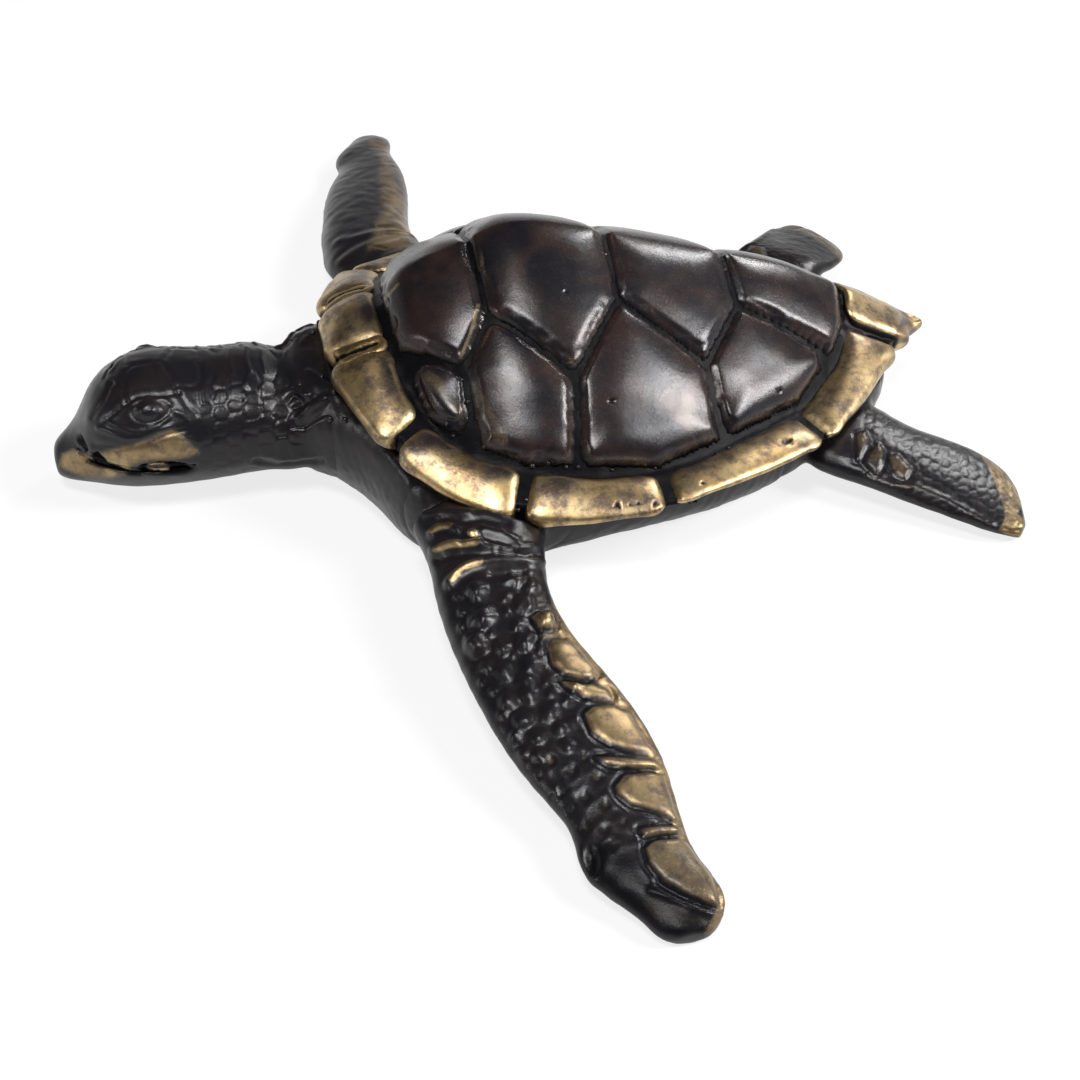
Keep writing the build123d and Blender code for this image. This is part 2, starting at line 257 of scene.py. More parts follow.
@dataclass(frozen=True)
class Viewpoint:
    """Where the picture was taken from, worked out from the figurine in it."""

    place: tuple[float, float, float] = (-75.40, -233.43, 179.11)
    yaw: float = 13.522
    pitch: float = 41.235
    roll: float = -1.170
    picture: float = 1080.0
    focal: float = 1500.0
    sensor: float = 36.0

    def axes(self) -> np.ndarray:
        """Right, up and forward directions of the camera, as rows.

        Returns:
            The three directions.
        """
        yaw, pitch, roll = (math.radians(turn) for turn in (self.yaw, self.pitch, self.roll))
        ahead = np.array([math.sin(yaw), math.cos(yaw), 0.0])
        right = np.array([math.cos(yaw), -math.sin(yaw), 0.0])
        forward = ahead * math.cos(pitch) + np.array([0.0, 0.0, -math.sin(pitch)])
        down = np.cross(forward, right)
        turned = right * math.cos(roll) + down * math.sin(roll)
        lowered = -right * math.sin(roll) + down * math.cos(roll)
        return np.array([turned, -lowered, forward])

    def pixels(self, places: np.ndarray) -> np.ndarray:
        """Where points in millimetres fall in the picture.

        Args:
            places: Points in millimetres, one row each.

        Returns:
            Pixel places, one row each.
        """
        right, up, forward = self.axes()
        rel = places - np.array(self.place)
        depth = rel @ forward
        across = self.picture / 2 + self.focal * (rel @ right) / depth
        along = self.picture / 2 - self.focal * (rel @ up) / depth
        return np.stack([across, along], axis=1)

    def facing(self, places: np.ndarray, normals: np.ndarray) -> np.ndarray:
        """How squarely each point's surface faces the camera, 1 when straight at it.

        Args:
            places: Points in millimetres, one row each.
            normals: Their directions, one row each.

        Returns:
            One value for each point.
        """
        back = np.array(self.place) - places
        back /= np.linalg.norm(back, axis=1)[:, None]
        return (back * normals).sum(axis=1)

    def set_up(self) -> None:
        """Add the camera to the scene."""
        right, up, forward = (Vector(row) for row in self.axes())
        data = bpy.data.cameras.new("camera")
        data.sensor_width = self.sensor
        data.sensor_height = self.sensor
        data.lens = self.focal / self.picture * self.sensor
        data.clip_start = MM
        camera = bpy.data.objects.new("camera", data)
        camera.matrix_world = Matrix.Translation(Vector(self.place) * MM) @ Matrix(
            (right, up, -forward)).transposed().to_4x4()
        bpy.context.scene.collection.objects.link(camera)
        bpy.context.scene.camera = camera


VIEW = Viewpoint()


def pulled(points: np.ndarray, pairs: Sequence[tuple[Pixel, Pixel]], fade: np.ndarray,
           soft: float = 20.0) -> np.ndarray:
    """Points moved across the line of sight, so that places in the picture come to lie elsewhere.

    Args:
        points: Points in millimetres, one row each.
        pairs: Places in the picture, each with the place that it moves to.
        fade: How far each point takes part.
        soft: How far in pixels a place's own move blends into those next to it.

    Returns:
        The moved points.
    """
    right, up, forward = VIEW.axes()
    seen = VIEW.pixels(points)
    total = np.zeros((len(points), 2))
    weights = np.zeros(len(points))
    for start, end in pairs:
        weight = 1.0 / (((seen - start) ** 2).sum(axis=1) + soft ** 2) ** 1.5
        total += weight[:, None] * (np.array(end) - np.array(start))
        weights += weight
    depth = (points - VIEW.place) @ forward
    shift = total / weights[:, None] * (fade * depth / VIEW.focal)[:, None]
    return points + np.outer(shift[:, 0], right) - np.outer(shift[:, 1], up)


# Materials


class Bench:
    """Adds nodes to one node tree, a line each."""

    def __init__(self, tree: bpy.types.NodeTree) -> None:
        """Start on an empty tree."""
        self.tree = tree
        tree.nodes.clear()

    def add(self, kind: str, inputs: dict | None = None, **settings) -> bpy.types.Node:
        """Add a node.

        Args:
            kind: The node's type name.
            inputs: Its input sockets by name or number, each a value or another node's output.
            settings: Its own settings.

        Returns:
            The node.
        """
        node = self.tree.nodes.new(kind)
        for name, value in settings.items():
            setattr(node, name, value)
        for name, value in (inputs or {}).items():
            if isinstance(value, bpy.types.NodeSocket):
                self.tree.links.new(value, node.inputs[name])
            else:
                node.inputs[name].default_value = value
        return node

    def math(self, operation: str, *values: float | bpy.types.NodeSocket) -> bpy.types.NodeSocket:
        """A sum of the given kind on one to three values."""
        return self.add("ShaderNodeMath", dict(enumerate(values)), operation=operation).outputs[0]

    def blend(self, share: float | bpy.types.NodeSocket, under: Colour | bpy.types.NodeSocket,
              over: Colour | bpy.types.NodeSocket) -> bpy.types.NodeSocket:
        """One colour laid over another by a share."""
        node = self.add("ShaderNodeMix", {0: share, 6: under, 7: over}, data_type="RGBA")
        return node.outputs[2]

    def step(self, value: bpy.types.NodeSocket, low: float | bpy.types.NodeSocket,
             high: float | bpy.types.NodeSocket, start: float = 0.0,
             end: float = 1.0) -> bpy.types.NodeSocket:
        """A smooth step of a value from start at low to end at high."""
        sockets = {0: value, 1: low, 2: high, 3: start, 4: end}
        return self.add("ShaderNodeMapRange", sockets, interpolation_type="SMOOTHSTEP").outputs[0]

    def noise(self, place: bpy.types.NodeSocket, size: float, detail: float = 3.0,
              roughness: float = 0.55, warp: float = 0.0) -> bpy.types.NodeSocket:
        """Cloudy noise with lumps of a size in millimetres.

        Args:
            place: Where the noise is read.
            size: The lumps' size in millimetres.
            detail: How many finer layers are added.
            roughness: How strong the finer layers are.
            warp: How far the lumps are bent.

        Returns:
            The noise, between 0 and 1.
        """
        sockets = {"Vector": place, "Scale": 1.0 / (size * MM), "Detail": detail,
                   "Roughness": roughness, "Distortion": warp}
        return self.add("ShaderNodeTexNoise", sockets).outputs["Fac"]


def new_group(name: str, inputs: dict[str, float],
              outputs: Sequence[str]) -> tuple[bpy.types.NodeTree, Bench]:
    """A node group of values.

    Args:
        name: The group's name.
        inputs: Its inputs and what each is where nothing is said.
        outputs: Its outputs.

    Returns:
        The group, and a bench to fill it.
    """
    tree = bpy.data.node_groups.new(name, "ShaderNodeTree")
    for socket, value in inputs.items():
        entry = tree.interface.new_socket(name=socket, in_out="INPUT",
                                          socket_type="NodeSocketFloat")
        entry.default_value = value
    for socket in outputs:
        tree.interface.new_socket(name=socket, in_out="OUTPUT", socket_type="NodeSocketFloat")
    return tree, Bench(tree)


def casting_mottle() -> bpy.types.NodeTree:
    """The uneven tone of an old casting: broad clouds, stains, fine flecks and a surface grain.

    Returns:
        The group.
    """
    tree, bench = new_group("casting_mottle", {"Spread": 0.5},
                            ("Clouds", "Stains", "Flecks", "Grain"))
    given = bench.add("NodeGroupInput")
    place = bench.add("ShaderNodeTexCoord").outputs["Object"]
    clouds = bench.noise(place, 9.0, 4.0, 0.6, 0.4)
    blots = bench.noise(place, 3.0, 9.0, 0.74)
    floor = bench.math("SUBTRACT", 0.72, bench.math("MULTIPLY", given.outputs["Spread"], 0.5))
    stains = bench.step(blots, floor, bench.math("ADD", floor, 0.22))
    flecks = bench.step(bench.noise(place, 0.55, 3.0, 0.7), 0.50, 0.72)
    fine = bench.noise(place, 0.36, 3.0, 0.7)
    swell = bench.noise(place, 1.5, 2.0, 0.5)
    grain = bench.math("ADD", bench.math("MULTIPLY", fine, 0.8),
                       bench.math("MULTIPLY", swell, 0.6))
    bench.add("NodeGroupOutput", {"Clouds": clouds, "Stains": stains, "Flecks": flecks,
                                  "Grain": grain})
    return tree


def rubbed_through() -> bpy.types.NodeTree:
    """Rubbed-off skin and painted glints: the painted amount, broken up by a ragged edge.

    Returns:
        The group.
    """
    tree, bench = new_group("rubbed_through", {"Worn": 0.0, "Ragged": 0.5, "Clouds": 0.5,
                                               "Flecks": 0.5}, ("Mask",))
    given = bench.add("NodeGroupInput")
    broken = bench.math("ADD", bench.math("MULTIPLY", given.outputs["Clouds"], 0.85),
                        bench.math("MULTIPLY", given.outputs["Flecks"], 0.15))
    moved = bench.math("MULTIPLY", bench.math("SUBTRACT", broken, 0.42), given.outputs["Ragged"])
    moved = bench.math("MULTIPLY", moved, bench.step(given.outputs["Worn"], 0.02, 0.25))
    bench.add("NodeGroupOutput", {"Mask": bench.step(
        bench.math("ADD", given.outputs["Worn"], moved), 0.16, 0.80)})
    return tree


BRASS_PALE: Colour = (0.60, 0.455, 0.25, 1)
BRASS_DEEP: Colour = (0.43, 0.29, 0.12, 1)
BRASS_DULL: Colour = (0.20, 0.14, 0.075, 1)
BRASS_STAIN: Colour = (0.095, 0.070, 0.068, 1)
# Laid into recesses: patina with painted shade.
PATINA_AND_SHADE_BLACK: Colour = (0.004, 0.004, 0.005, 1)


@dataclass(frozen=True)
class Patina:
    """A casting finish: dark skin, brass rubbed and painted bright, patina and painted shade."""

    name: str
    dark: Colour
    dark_warm: Colour
    brass: Colour
    brass_deep: Colour
    dark_metal: float
    specular: float
    grain: float
    spread: float = 0.5
    ragged: float = 0.6
    dark_rough: float = 0.30
    brass_rough: float = 0.30

    def mix(self, groups: dict[str, bpy.types.NodeTree]) -> bpy.types.Material:
        """Make the material.

        Args:
            groups: The shared node groups by name.

        Returns:
            The material.
        """
        material = bpy.data.materials.new(self.name)
        material.use_nodes = True
        bench = Bench(material.node_tree)
        mottle = bench.add("ShaderNodeGroup", {"Spread": self.spread},
                           node_tree=groups["casting_mottle"])
        clouds, stains, flecks, grain = (mottle.outputs[name] for name in
                                         ("Clouds", "Stains", "Flecks", "Grain"))
        # The brass mask holds rubbed brass and painted highlights.
        worn = bench.add("ShaderNodeAttribute", attribute_name="worn").outputs["Fac"]
        hollow = bench.add("ShaderNodeAttribute", attribute_name="hollow").outputs["Fac"]
        rub_and_glint_group = bench.add("ShaderNodeGroup", {"Worn": worn, "Ragged": self.ragged,
                                            "Clouds": clouds, "Flecks": flecks},
                        node_tree=groups["rubbed_through"])
        mask = rub_and_glint_group.outputs["Mask"]
        skin = bench.blend(bench.step(clouds, 0.35, 0.68), self.dark, self.dark_warm)
        bright = bench.blend(bench.step(clouds, 0.30, 0.70), self.brass, self.brass_deep)
        stained = bench.blend(bench.math("MULTIPLY", stains, 0.85), bright, BRASS_STAIN)
        colour = bench.blend(mask, skin, stained)
        # Recesses darkened: patina with painted shade.
        pitted = bench.blend(bench.math("MULTIPLY", hollow, 0.92), colour, PATINA_AND_SHADE_BLACK)
        metal = bench.step(mask, 0.0, 1.0, self.dark_metal, 1.0)
        rough = bench.step(mask, 0.0, 1.0, self.dark_rough, self.brass_rough)
        uneven = bench.math("ADD", rough, bench.math(
            "MULTIPLY", bench.math("ADD", flecks, stains), 0.04))
        bump = bench.add("ShaderNodeBump", {"Strength": 1.0, "Distance": self.grain * MM,
                                            "Height": grain})
        gloss = bench.math("MULTIPLY", self.specular, bench.step(hollow, 0.0, 1.0, 1.0, 0.15))
        shader = bench.add("ShaderNodeBsdfPrincipled", {
            "Base Color": pitted, "Metallic": metal, "Roughness": uneven,
            "Normal": bump.outputs[0], "Specular IOR Level": gloss})
        bench.add("ShaderNodeOutputMaterial", {"Surface": shader.outputs[0]})
        return material


FINISHES = {
    # The groove finish is near-dark: patina with painted shade of the grooves.
    Slot.GROOVE: Patina("groove_patina", (0.002, 0.002, 0.003, 1), (0.005, 0.004, 0.005, 1),
                        BRASS_DEEP, BRASS_DEEP, dark_metal=0.0, specular=0.08, grain=0.08,
                        dark_rough=0.34),
    Slot.SKIN: Patina("skin_patina", (0.006, 0.006, 0.008, 1), (0.011, 0.008, 0.009, 1),
                      (0.44, 0.325, 0.17, 1), BRASS_DULL, dark_metal=0.0, specular=0.32,
                      grain=0.04, spread=0.58, ragged=0.7, dark_rough=0.28, brass_rough=0.40),
    # The plates' brass colour serves rubbed brass and the painted highlights.
    Slot.PLATE: Patina("plate_patina", (0.008, 0.007, 0.010, 1), (0.028, 0.016, 0.013, 1),
                       (0.46, 0.37, 0.25, 1), BRASS_DULL, dark_metal=0.25, specular=0.50,
                       grain=0.03, dark_rough=0.25),
    Slot.BRASS: Patina("rubbed_brass", (0.045, 0.034, 0.036, 1), (0.085, 0.062, 0.058, 1),
                       BRASS_PALE, BRASS_DEEP, dark_metal=0.75, specular=0.45, grain=0.045,
                       spread=0.60, ragged=1.0, brass_rough=0.36),
}


class Paintbox:
    """The mixed materials, one for each finish."""

    def __init__(self) -> None:
        """Build the shared groups and every material once."""
        groups = {tree.name: tree for tree in (casting_mottle(), rubbed_through())}
        self.mixed = {slot: finish.mix(groups) for slot, finish in FINISHES.items()}

    def dress(self, piece: bpy.types.Object, slot: Slot) -> None:
        """Give a piece its finish.

        Args:
            piece: The piece.
            slot: The finish.
        """
        piece.data.materials.clear()
        piece.data.materials.append(self.mixed[slot])


# Castings


def select_only(piece: bpy.types.Object) -> None:
    """Make a piece the only selected and the active object.

    Args:
        piece: The piece.
    """
    bpy.ops.object.select_all(action="DESELECT")
    piece.select_set(True)
    bpy.context.view_layer.objects.active = piece


def merged_copy(node: str, name: str) -> bpy.types.Object:
    """A copy of a solid's mesh as one closed skin.

    Args:
        node: The solid's node.
        name: The copy's name.

    Returns:
        The copy, at the origin.
    """
    source = frame["nodes"][node]
    mesh = source.data.copy()
    mesh.transform(source.matrix_world)
    piece = bpy.data.objects.new(name, mesh)
    bpy.context.scene.collection.objects.link(piece)
    select_only(piece)
    bpy.ops.object.mode_set(mode="EDIT")
    bpy.ops.mesh.select_all(action="SELECT")
    bpy.ops.mesh.remove_doubles(threshold=WELD_GAP * MM)
    bpy.ops.object.mode_set(mode="OBJECT")
    return piece


def tree_of(piece: bpy.types.Object) -> BVHTree:
    """A piece's faces, ready to be asked for the nearest place in millimetres."""
    corners = [vertex.co / MM for vertex in piece.data.vertices]
    return BVHTree.FromPolygons(corners, [tuple(face.vertices) for face in piece.data.polygons])


def solid_tree(node: str) -> BVHTree:
    """A solid's faces, ready to be asked for the nearest place in millimetres.

    Args:
        node: The solid's node.

    Returns:
        Its faces.
    """
    solid = merged_copy(node, node + "_measure")
    tree = tree_of(solid)
    bpy.data.objects.remove(solid)
    return tree


def skin_lumps(points: np.ndarray) -> np.ndarray:
    """Soft unevenness of the skin round the limbs, the same on every piece that shows it."""
    return 0.06 * waves(points, 7.0, 20, 31) + 0.05 * waves(points, 2.6, 20, 32)


def gaps_to(tree: BVHTree, points: np.ndarray) -> np.ndarray:
    """Distance from each point to the nearest place on a skin, in millimetres."""
    return np.array([tree.find_nearest(Vector(point))[3] for point in points])


def crease_points(piece: bpy.types.Object, sharpness: float, step: float) -> np.ndarray:
    """Points along the sharp edges of a merged solid.

    Args:
        piece: The merged copy.
        sharpness: The least turn in degrees between an edge's two faces.
        step: The distance in millimetres from point to point.

    Returns:
        The points in millimetres, one row each.
    """
    shape = bmesh.new()
    shape.from_mesh(piece.data)
    points = []
    for edge in shape.edges:
        if len(edge.link_faces) == 2 and edge.calc_face_angle(0.0) > math.radians(sharpness):
            start, end = (np.array(vertex.co) / MM for vertex in edge.verts)
            count = max(2, int(np.linalg.norm(end - start) / step) + 1)
            points.extend(start + (end - start) * share for share in np.linspace(0, 1, count))
    shape.free()
    return np.array(points)


class Casting:
    """A piece worked from a copy of its solid."""

    sharpness: float = 38.0
    crease_step: float = 0.3
    apron: float = 7.0
    apron_rise: float = 0.06
    apron_dive: float = 0.40
    blend_reach: float = 3.6
    blend_core: float = 0.6

    def __init__(self, node: str, skin: float, near: Callable | None = None,
                 ground: str | None = None, blend: int = 44) -> None:
        """Copy the solid and give it an even skin.

        Args:
            node: The solid's node.
            skin: The size of the skin's faces in millimetres.
            near: Maps points and directions to the same place on the side that the camera sees.
            ground: The solid that it grows out of without a joint.
            blend: How many turns of softening the place where they meet gets.
        """
        self.node = node
        self.piece = merged_copy(node, node + "_cast")
        self.near = near or mirrored_near
        self.creases = crease_points(self.piece, self.sharpness, self.crease_step)
        own = tree_of(self.piece)
        if ground:
            base = merged_copy(ground, ground + "_apron")
            under = tree_of(base)
            self.piece.select_set(True)
            bpy.context.view_layer.objects.active = self.piece
            bpy.ops.object.join()
        self.modify("REMESH", mode="VOXEL", voxel_size=skin * MM, use_smooth_shade=True)
        self.marks: dict[str, np.ndarray] = {}
        self.read()
        if ground:
            self.grow(own, under, blend)

    def grow(self, own: BVHTree, under: BVHTree, blend: int) -> None:
        """Keep a narrow apron of the ground, rounded into the piece, that dives under the rest.

        Args:
            own: The piece's own solid.
            under: The ground's solid.
            blend: How many turns of softening the place where they meet gets.
        """
        gap = gaps_to(own, self.points)
        shape = bmesh.new()
        shape.from_mesh(self.piece.data)
        far = [vertex for vertex, away in zip(shape.verts, gap) if away > self.apron]
        bmesh.ops.delete(shape, geom=far, context="VERTS")
        shape.to_mesh(self.piece.data)
        shape.free()
        self.read()
        gap = gap[gap <= self.apron]
        rest = gaps_to(under, self.points)
        self.soften(blend, 1.0 - ease(gap, self.blend_reach, self.blend_core)
                    * ease(rest, self.blend_reach, self.blend_core))
        self.push(self.apron_rise - self.apron_dive * ease(gap, 0.45 * self.apron, self.apron)
                  + skin_lumps(self.points) * ease(gap, 0.0, 1.5))

    def modify(self, kind: str, **settings) -> None:
        """Add a modifier and apply it.

        Args:
            kind: The modifier's type.
            settings: Its own settings.
        """
        modifier = self.piece.modifiers.new(kind.lower(), kind)
        for name, value in settings.items():
            setattr(modifier, name, value)
        select_only(self.piece)
        bpy.ops.object.modifier_apply(modifier=modifier.name)

    def read(self) -> None:
        """Take the points and normals from the mesh, in millimetres."""
        mesh = self.piece.data
        flat = np.empty(len(mesh.vertices) * 3, np.float32)
        mesh.vertices.foreach_get("co", flat)
        self.points = flat.reshape(-1, 3).astype(float) / MM
        mesh.vertex_normals.foreach_get("vector", flat)
        self.normals = flat.reshape(-1, 3).astype(float)

    def write(self) -> None:
        """Put the moved points back and take the new normals."""
        mesh = self.piece.data
        mesh.vertices.foreach_set("co", (self.points * MM).astype(np.float32).ravel())
        mesh.update()
        self.read()

    def soften(self, turns: int, held: np.ndarray | None = None) -> None:
        """Round the edges off.

        Args:
            turns: How many times each point moves halfway to the middle of its neighbours.
            held: Where it stays, 1 for not moving at all.
        """
        start, end, count = self.neighbours()
        size = len(self.points)
        free = np.ones(size) if held is None else 1.0 - held
        for _ in range(turns):
            total = np.zeros_like(self.points)
            for axis in range(3):
                total[:, axis] = (np.bincount(start, self.points[end, axis], size)
                                  + np.bincount(end, self.points[start, axis], size))
            self.points += (total / count[:, None] - self.points) * (0.5 * free)[:, None]
        self.write()

    def neighbours(self) -> tuple[np.ndarray, np.ndarray, np.ndarray]:
        """The two ends of every edge, and how many edges meet at each point.

        Returns:
            The starts, the ends and the counts.
        """
        mesh = self.piece.data
        pairs = np.empty(len(mesh.edges) * 2, np.int64)
        mesh.edges.foreach_get("vertices", pairs)
        start, end = pairs[0::2], pairs[1::2]
        size = len(mesh.vertices)
        count = np.bincount(start, minlength=size) + np.bincount(end, minlength=size)
        return start, end, np.maximum(count, 1)

    def blur(self, values: np.ndarray, turns: int) -> np.ndarray:
        """Even out a value over the skin, each time halfway to the mean of its neighbours.

        Args:
            values: One value for each point.
            turns: How many times it is evened out.

        Returns:
            The evened values.
        """
        start, end, count = self.neighbours()
        size = len(values)
        for _ in range(turns):
            total = np.bincount(start, values[end], size) + np.bincount(end, values[start], size)
            values = 0.5 * (values + total / count)
        return values

    def push(self, amount: np.ndarray) -> None:
        """Move each point out along its normal by an amount in millimetres."""
        self.points += self.normals * amount[:, None]
        self.write()

    def look(self) -> tuple[np.ndarray, np.ndarray]:
        """Where each point falls in the picture, and how squarely it faces the camera."""
        places, normals = self.near(self.points, self.normals)
        return VIEW.pixels(places), VIEW.facing(places, normals)

    def mark(self, name: str, values: np.ndarray) -> None:
        """Keep a painted value for each point, between 0 and 1."""
        self.marks[name] = np.clip(values, 0.0, 1.0)

    def finish(self, slot: Slot, paints: Paintbox) -> None:
        """Hold the piece above the floor, write its painted values, dress it and hang it.

        Args:
            slot: The finish.
            paints: The mixed materials.
        """
        self.points[:, 2] = np.maximum(self.points[:, 2], FLOOR_GAP)
        self.write()
        mesh = self.piece.data
        for name in ("worn", "hollow"):
            values = self.marks.get(name, np.zeros(len(mesh.vertices)))
            layer = mesh.attributes.new(name, "FLOAT", "POINT")
            layer.data.foreach_set("value", values.astype(np.float32))
        mesh.shade_smooth()
        paints.dress(self.piece, slot)
        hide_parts(self.node)
        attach(self.piece, "root")
        log.info("%s: %d faces", self.piece.name, len(mesh.polygons))


def mirrored_near(points: np.ndarray, normals: np.ndarray) -> tuple[np.ndarray, np.ndarray]:
    """Points and normals with those of the right side moved to the left, across the ridge.

    Args:
        points: Points in millimetres, one row each.
        normals: Their directions, one row each.

    Returns:
        The moved points and normals.
    """
    flip = np.where(points[:, 1] > 0.0, -1.0, 1.0)
    sign = np.stack([np.ones_like(flip), flip, np.ones_like(flip)], axis=1)
    return points * sign, normals * sign


# The shell


RIM_NODES = ("rim_plate", "nape_plate", "tail_plate")

# Lines in the picture where a dark plate shows brass, each with half its width and how far
CROWN_RUBS_AND_GLINTS = (
    # The first two are rubbed brass.
    (((429, 378), (440, 388), (452, 400), (461, 412)), 10.0, 0.30),
    (((472, 386), (480, 400), (490, 421), (503, 440)), 8.0, 0.30),
    # These three are painted highlights: glints along plate edges, with a little rubbing.
    (((384, 345), (379, 325), (384, 300), (398, 284)), 2.0, 0.48),
    (((478, 305), (470, 335), (458, 364), (452, 368), (430, 363)), 2.0, 0.60),
    (((608, 310), (603, 325), (592, 350), (578, 365), (566, 362)), 2.0, 0.56),
    # Painted highlight: the sheen patch on the lower right of the third costal.
    (((664, 392), (684, 406), (702, 436)), 16.0, 0.22),
)


@dataclass(frozen=True)
class HindTip:
    """How the shell's hind end is drawn down to a low narrow tip, in millimetres and shares."""

    start: float = 50.0
    length: float = 10.5
    level: float = 10.4
    rise: float = 2.8
    forward: float = 0.5
    narrow: float = 0.25
    flat: float = 0.78
    reach: tuple = (46.0, 52.0)
    soft: float = 12.0
    pulls: tuple = (
        ((846.7, 287.3), (846.7, 287.3)), ((858.7, 290), (860, 293.3)),
        ((874.7, 295.3), (876, 300)), ((888, 304.7), (889, 305)), ((901.3, 314), (901, 309.5)),
        ((912, 317.3), (911.5, 313)), ((922.7, 319.3), (920.5, 319)), ((923.7, 322), (924, 325)),
        ((917.3, 330.7), (918, 332.5)), ((910.7, 338.7), (908, 338.5)),
        ((905.3, 348), (900, 343)), ((898.7, 355.3), (893, 347)), ((894, 357.3), (889, 349)),
    )

    def part(self, points: np.ndarray) -> np.ndarray:
        """How far each point follows the pulls."""
        return ease(points[:, 0], *self.reach)

    def lowered(self, points: np.ndarray) -> np.ndarray:
        """The shell's points with its hind end lowered, narrowed and drawn to the picture.

        Args:
            points: Points in millimetres, one row each.

        Returns:
            The moved points.
        """
        share = np.clip((points[:, 0] - self.start) / self.length, 0.0, 1.0)
        middle = self.level + self.rise * share
        moved = points.copy()
        moved[:, 0] -= self.forward * share
        moved[:, 1] *= 1.0 - self.narrow * share ** 2
        moved[:, 2] -= (points[:, 2] - middle) * self.flat * share ** 1.5
        return pulled(moved, self.pulls, self.part(points), self.soft)


TIP = HindTip()


@dataclass(frozen=True)
class Rounding:
    """How one kind of plate is rounded off, in millimetres and turns of softening."""

    reach: float
    depth: float
    turns: int
    flank: float = 0.28
    flank_reach: float = 2.2
    foot: float = 0.55


CROWN_ROUNDING = Rounding(reach=6.5, depth=0.85, turns=18)
FIRST_COSTAL_ROUNDING = Rounding(reach=6.5, depth=1.3, turns=18)
RIM_ROUNDING = Rounding(reach=5.0, depth=1.15, turns=80)
ODD_ROUNDINGS = {
    "costal_plate_left_1": FIRST_COSTAL_ROUNDING,
    "costal_plate_right_1": FIRST_COSTAL_ROUNDING,
    "tail_plate": Rounding(reach=5.0, depth=0.0, turns=90, flank=0.0, foot=0.0),
}


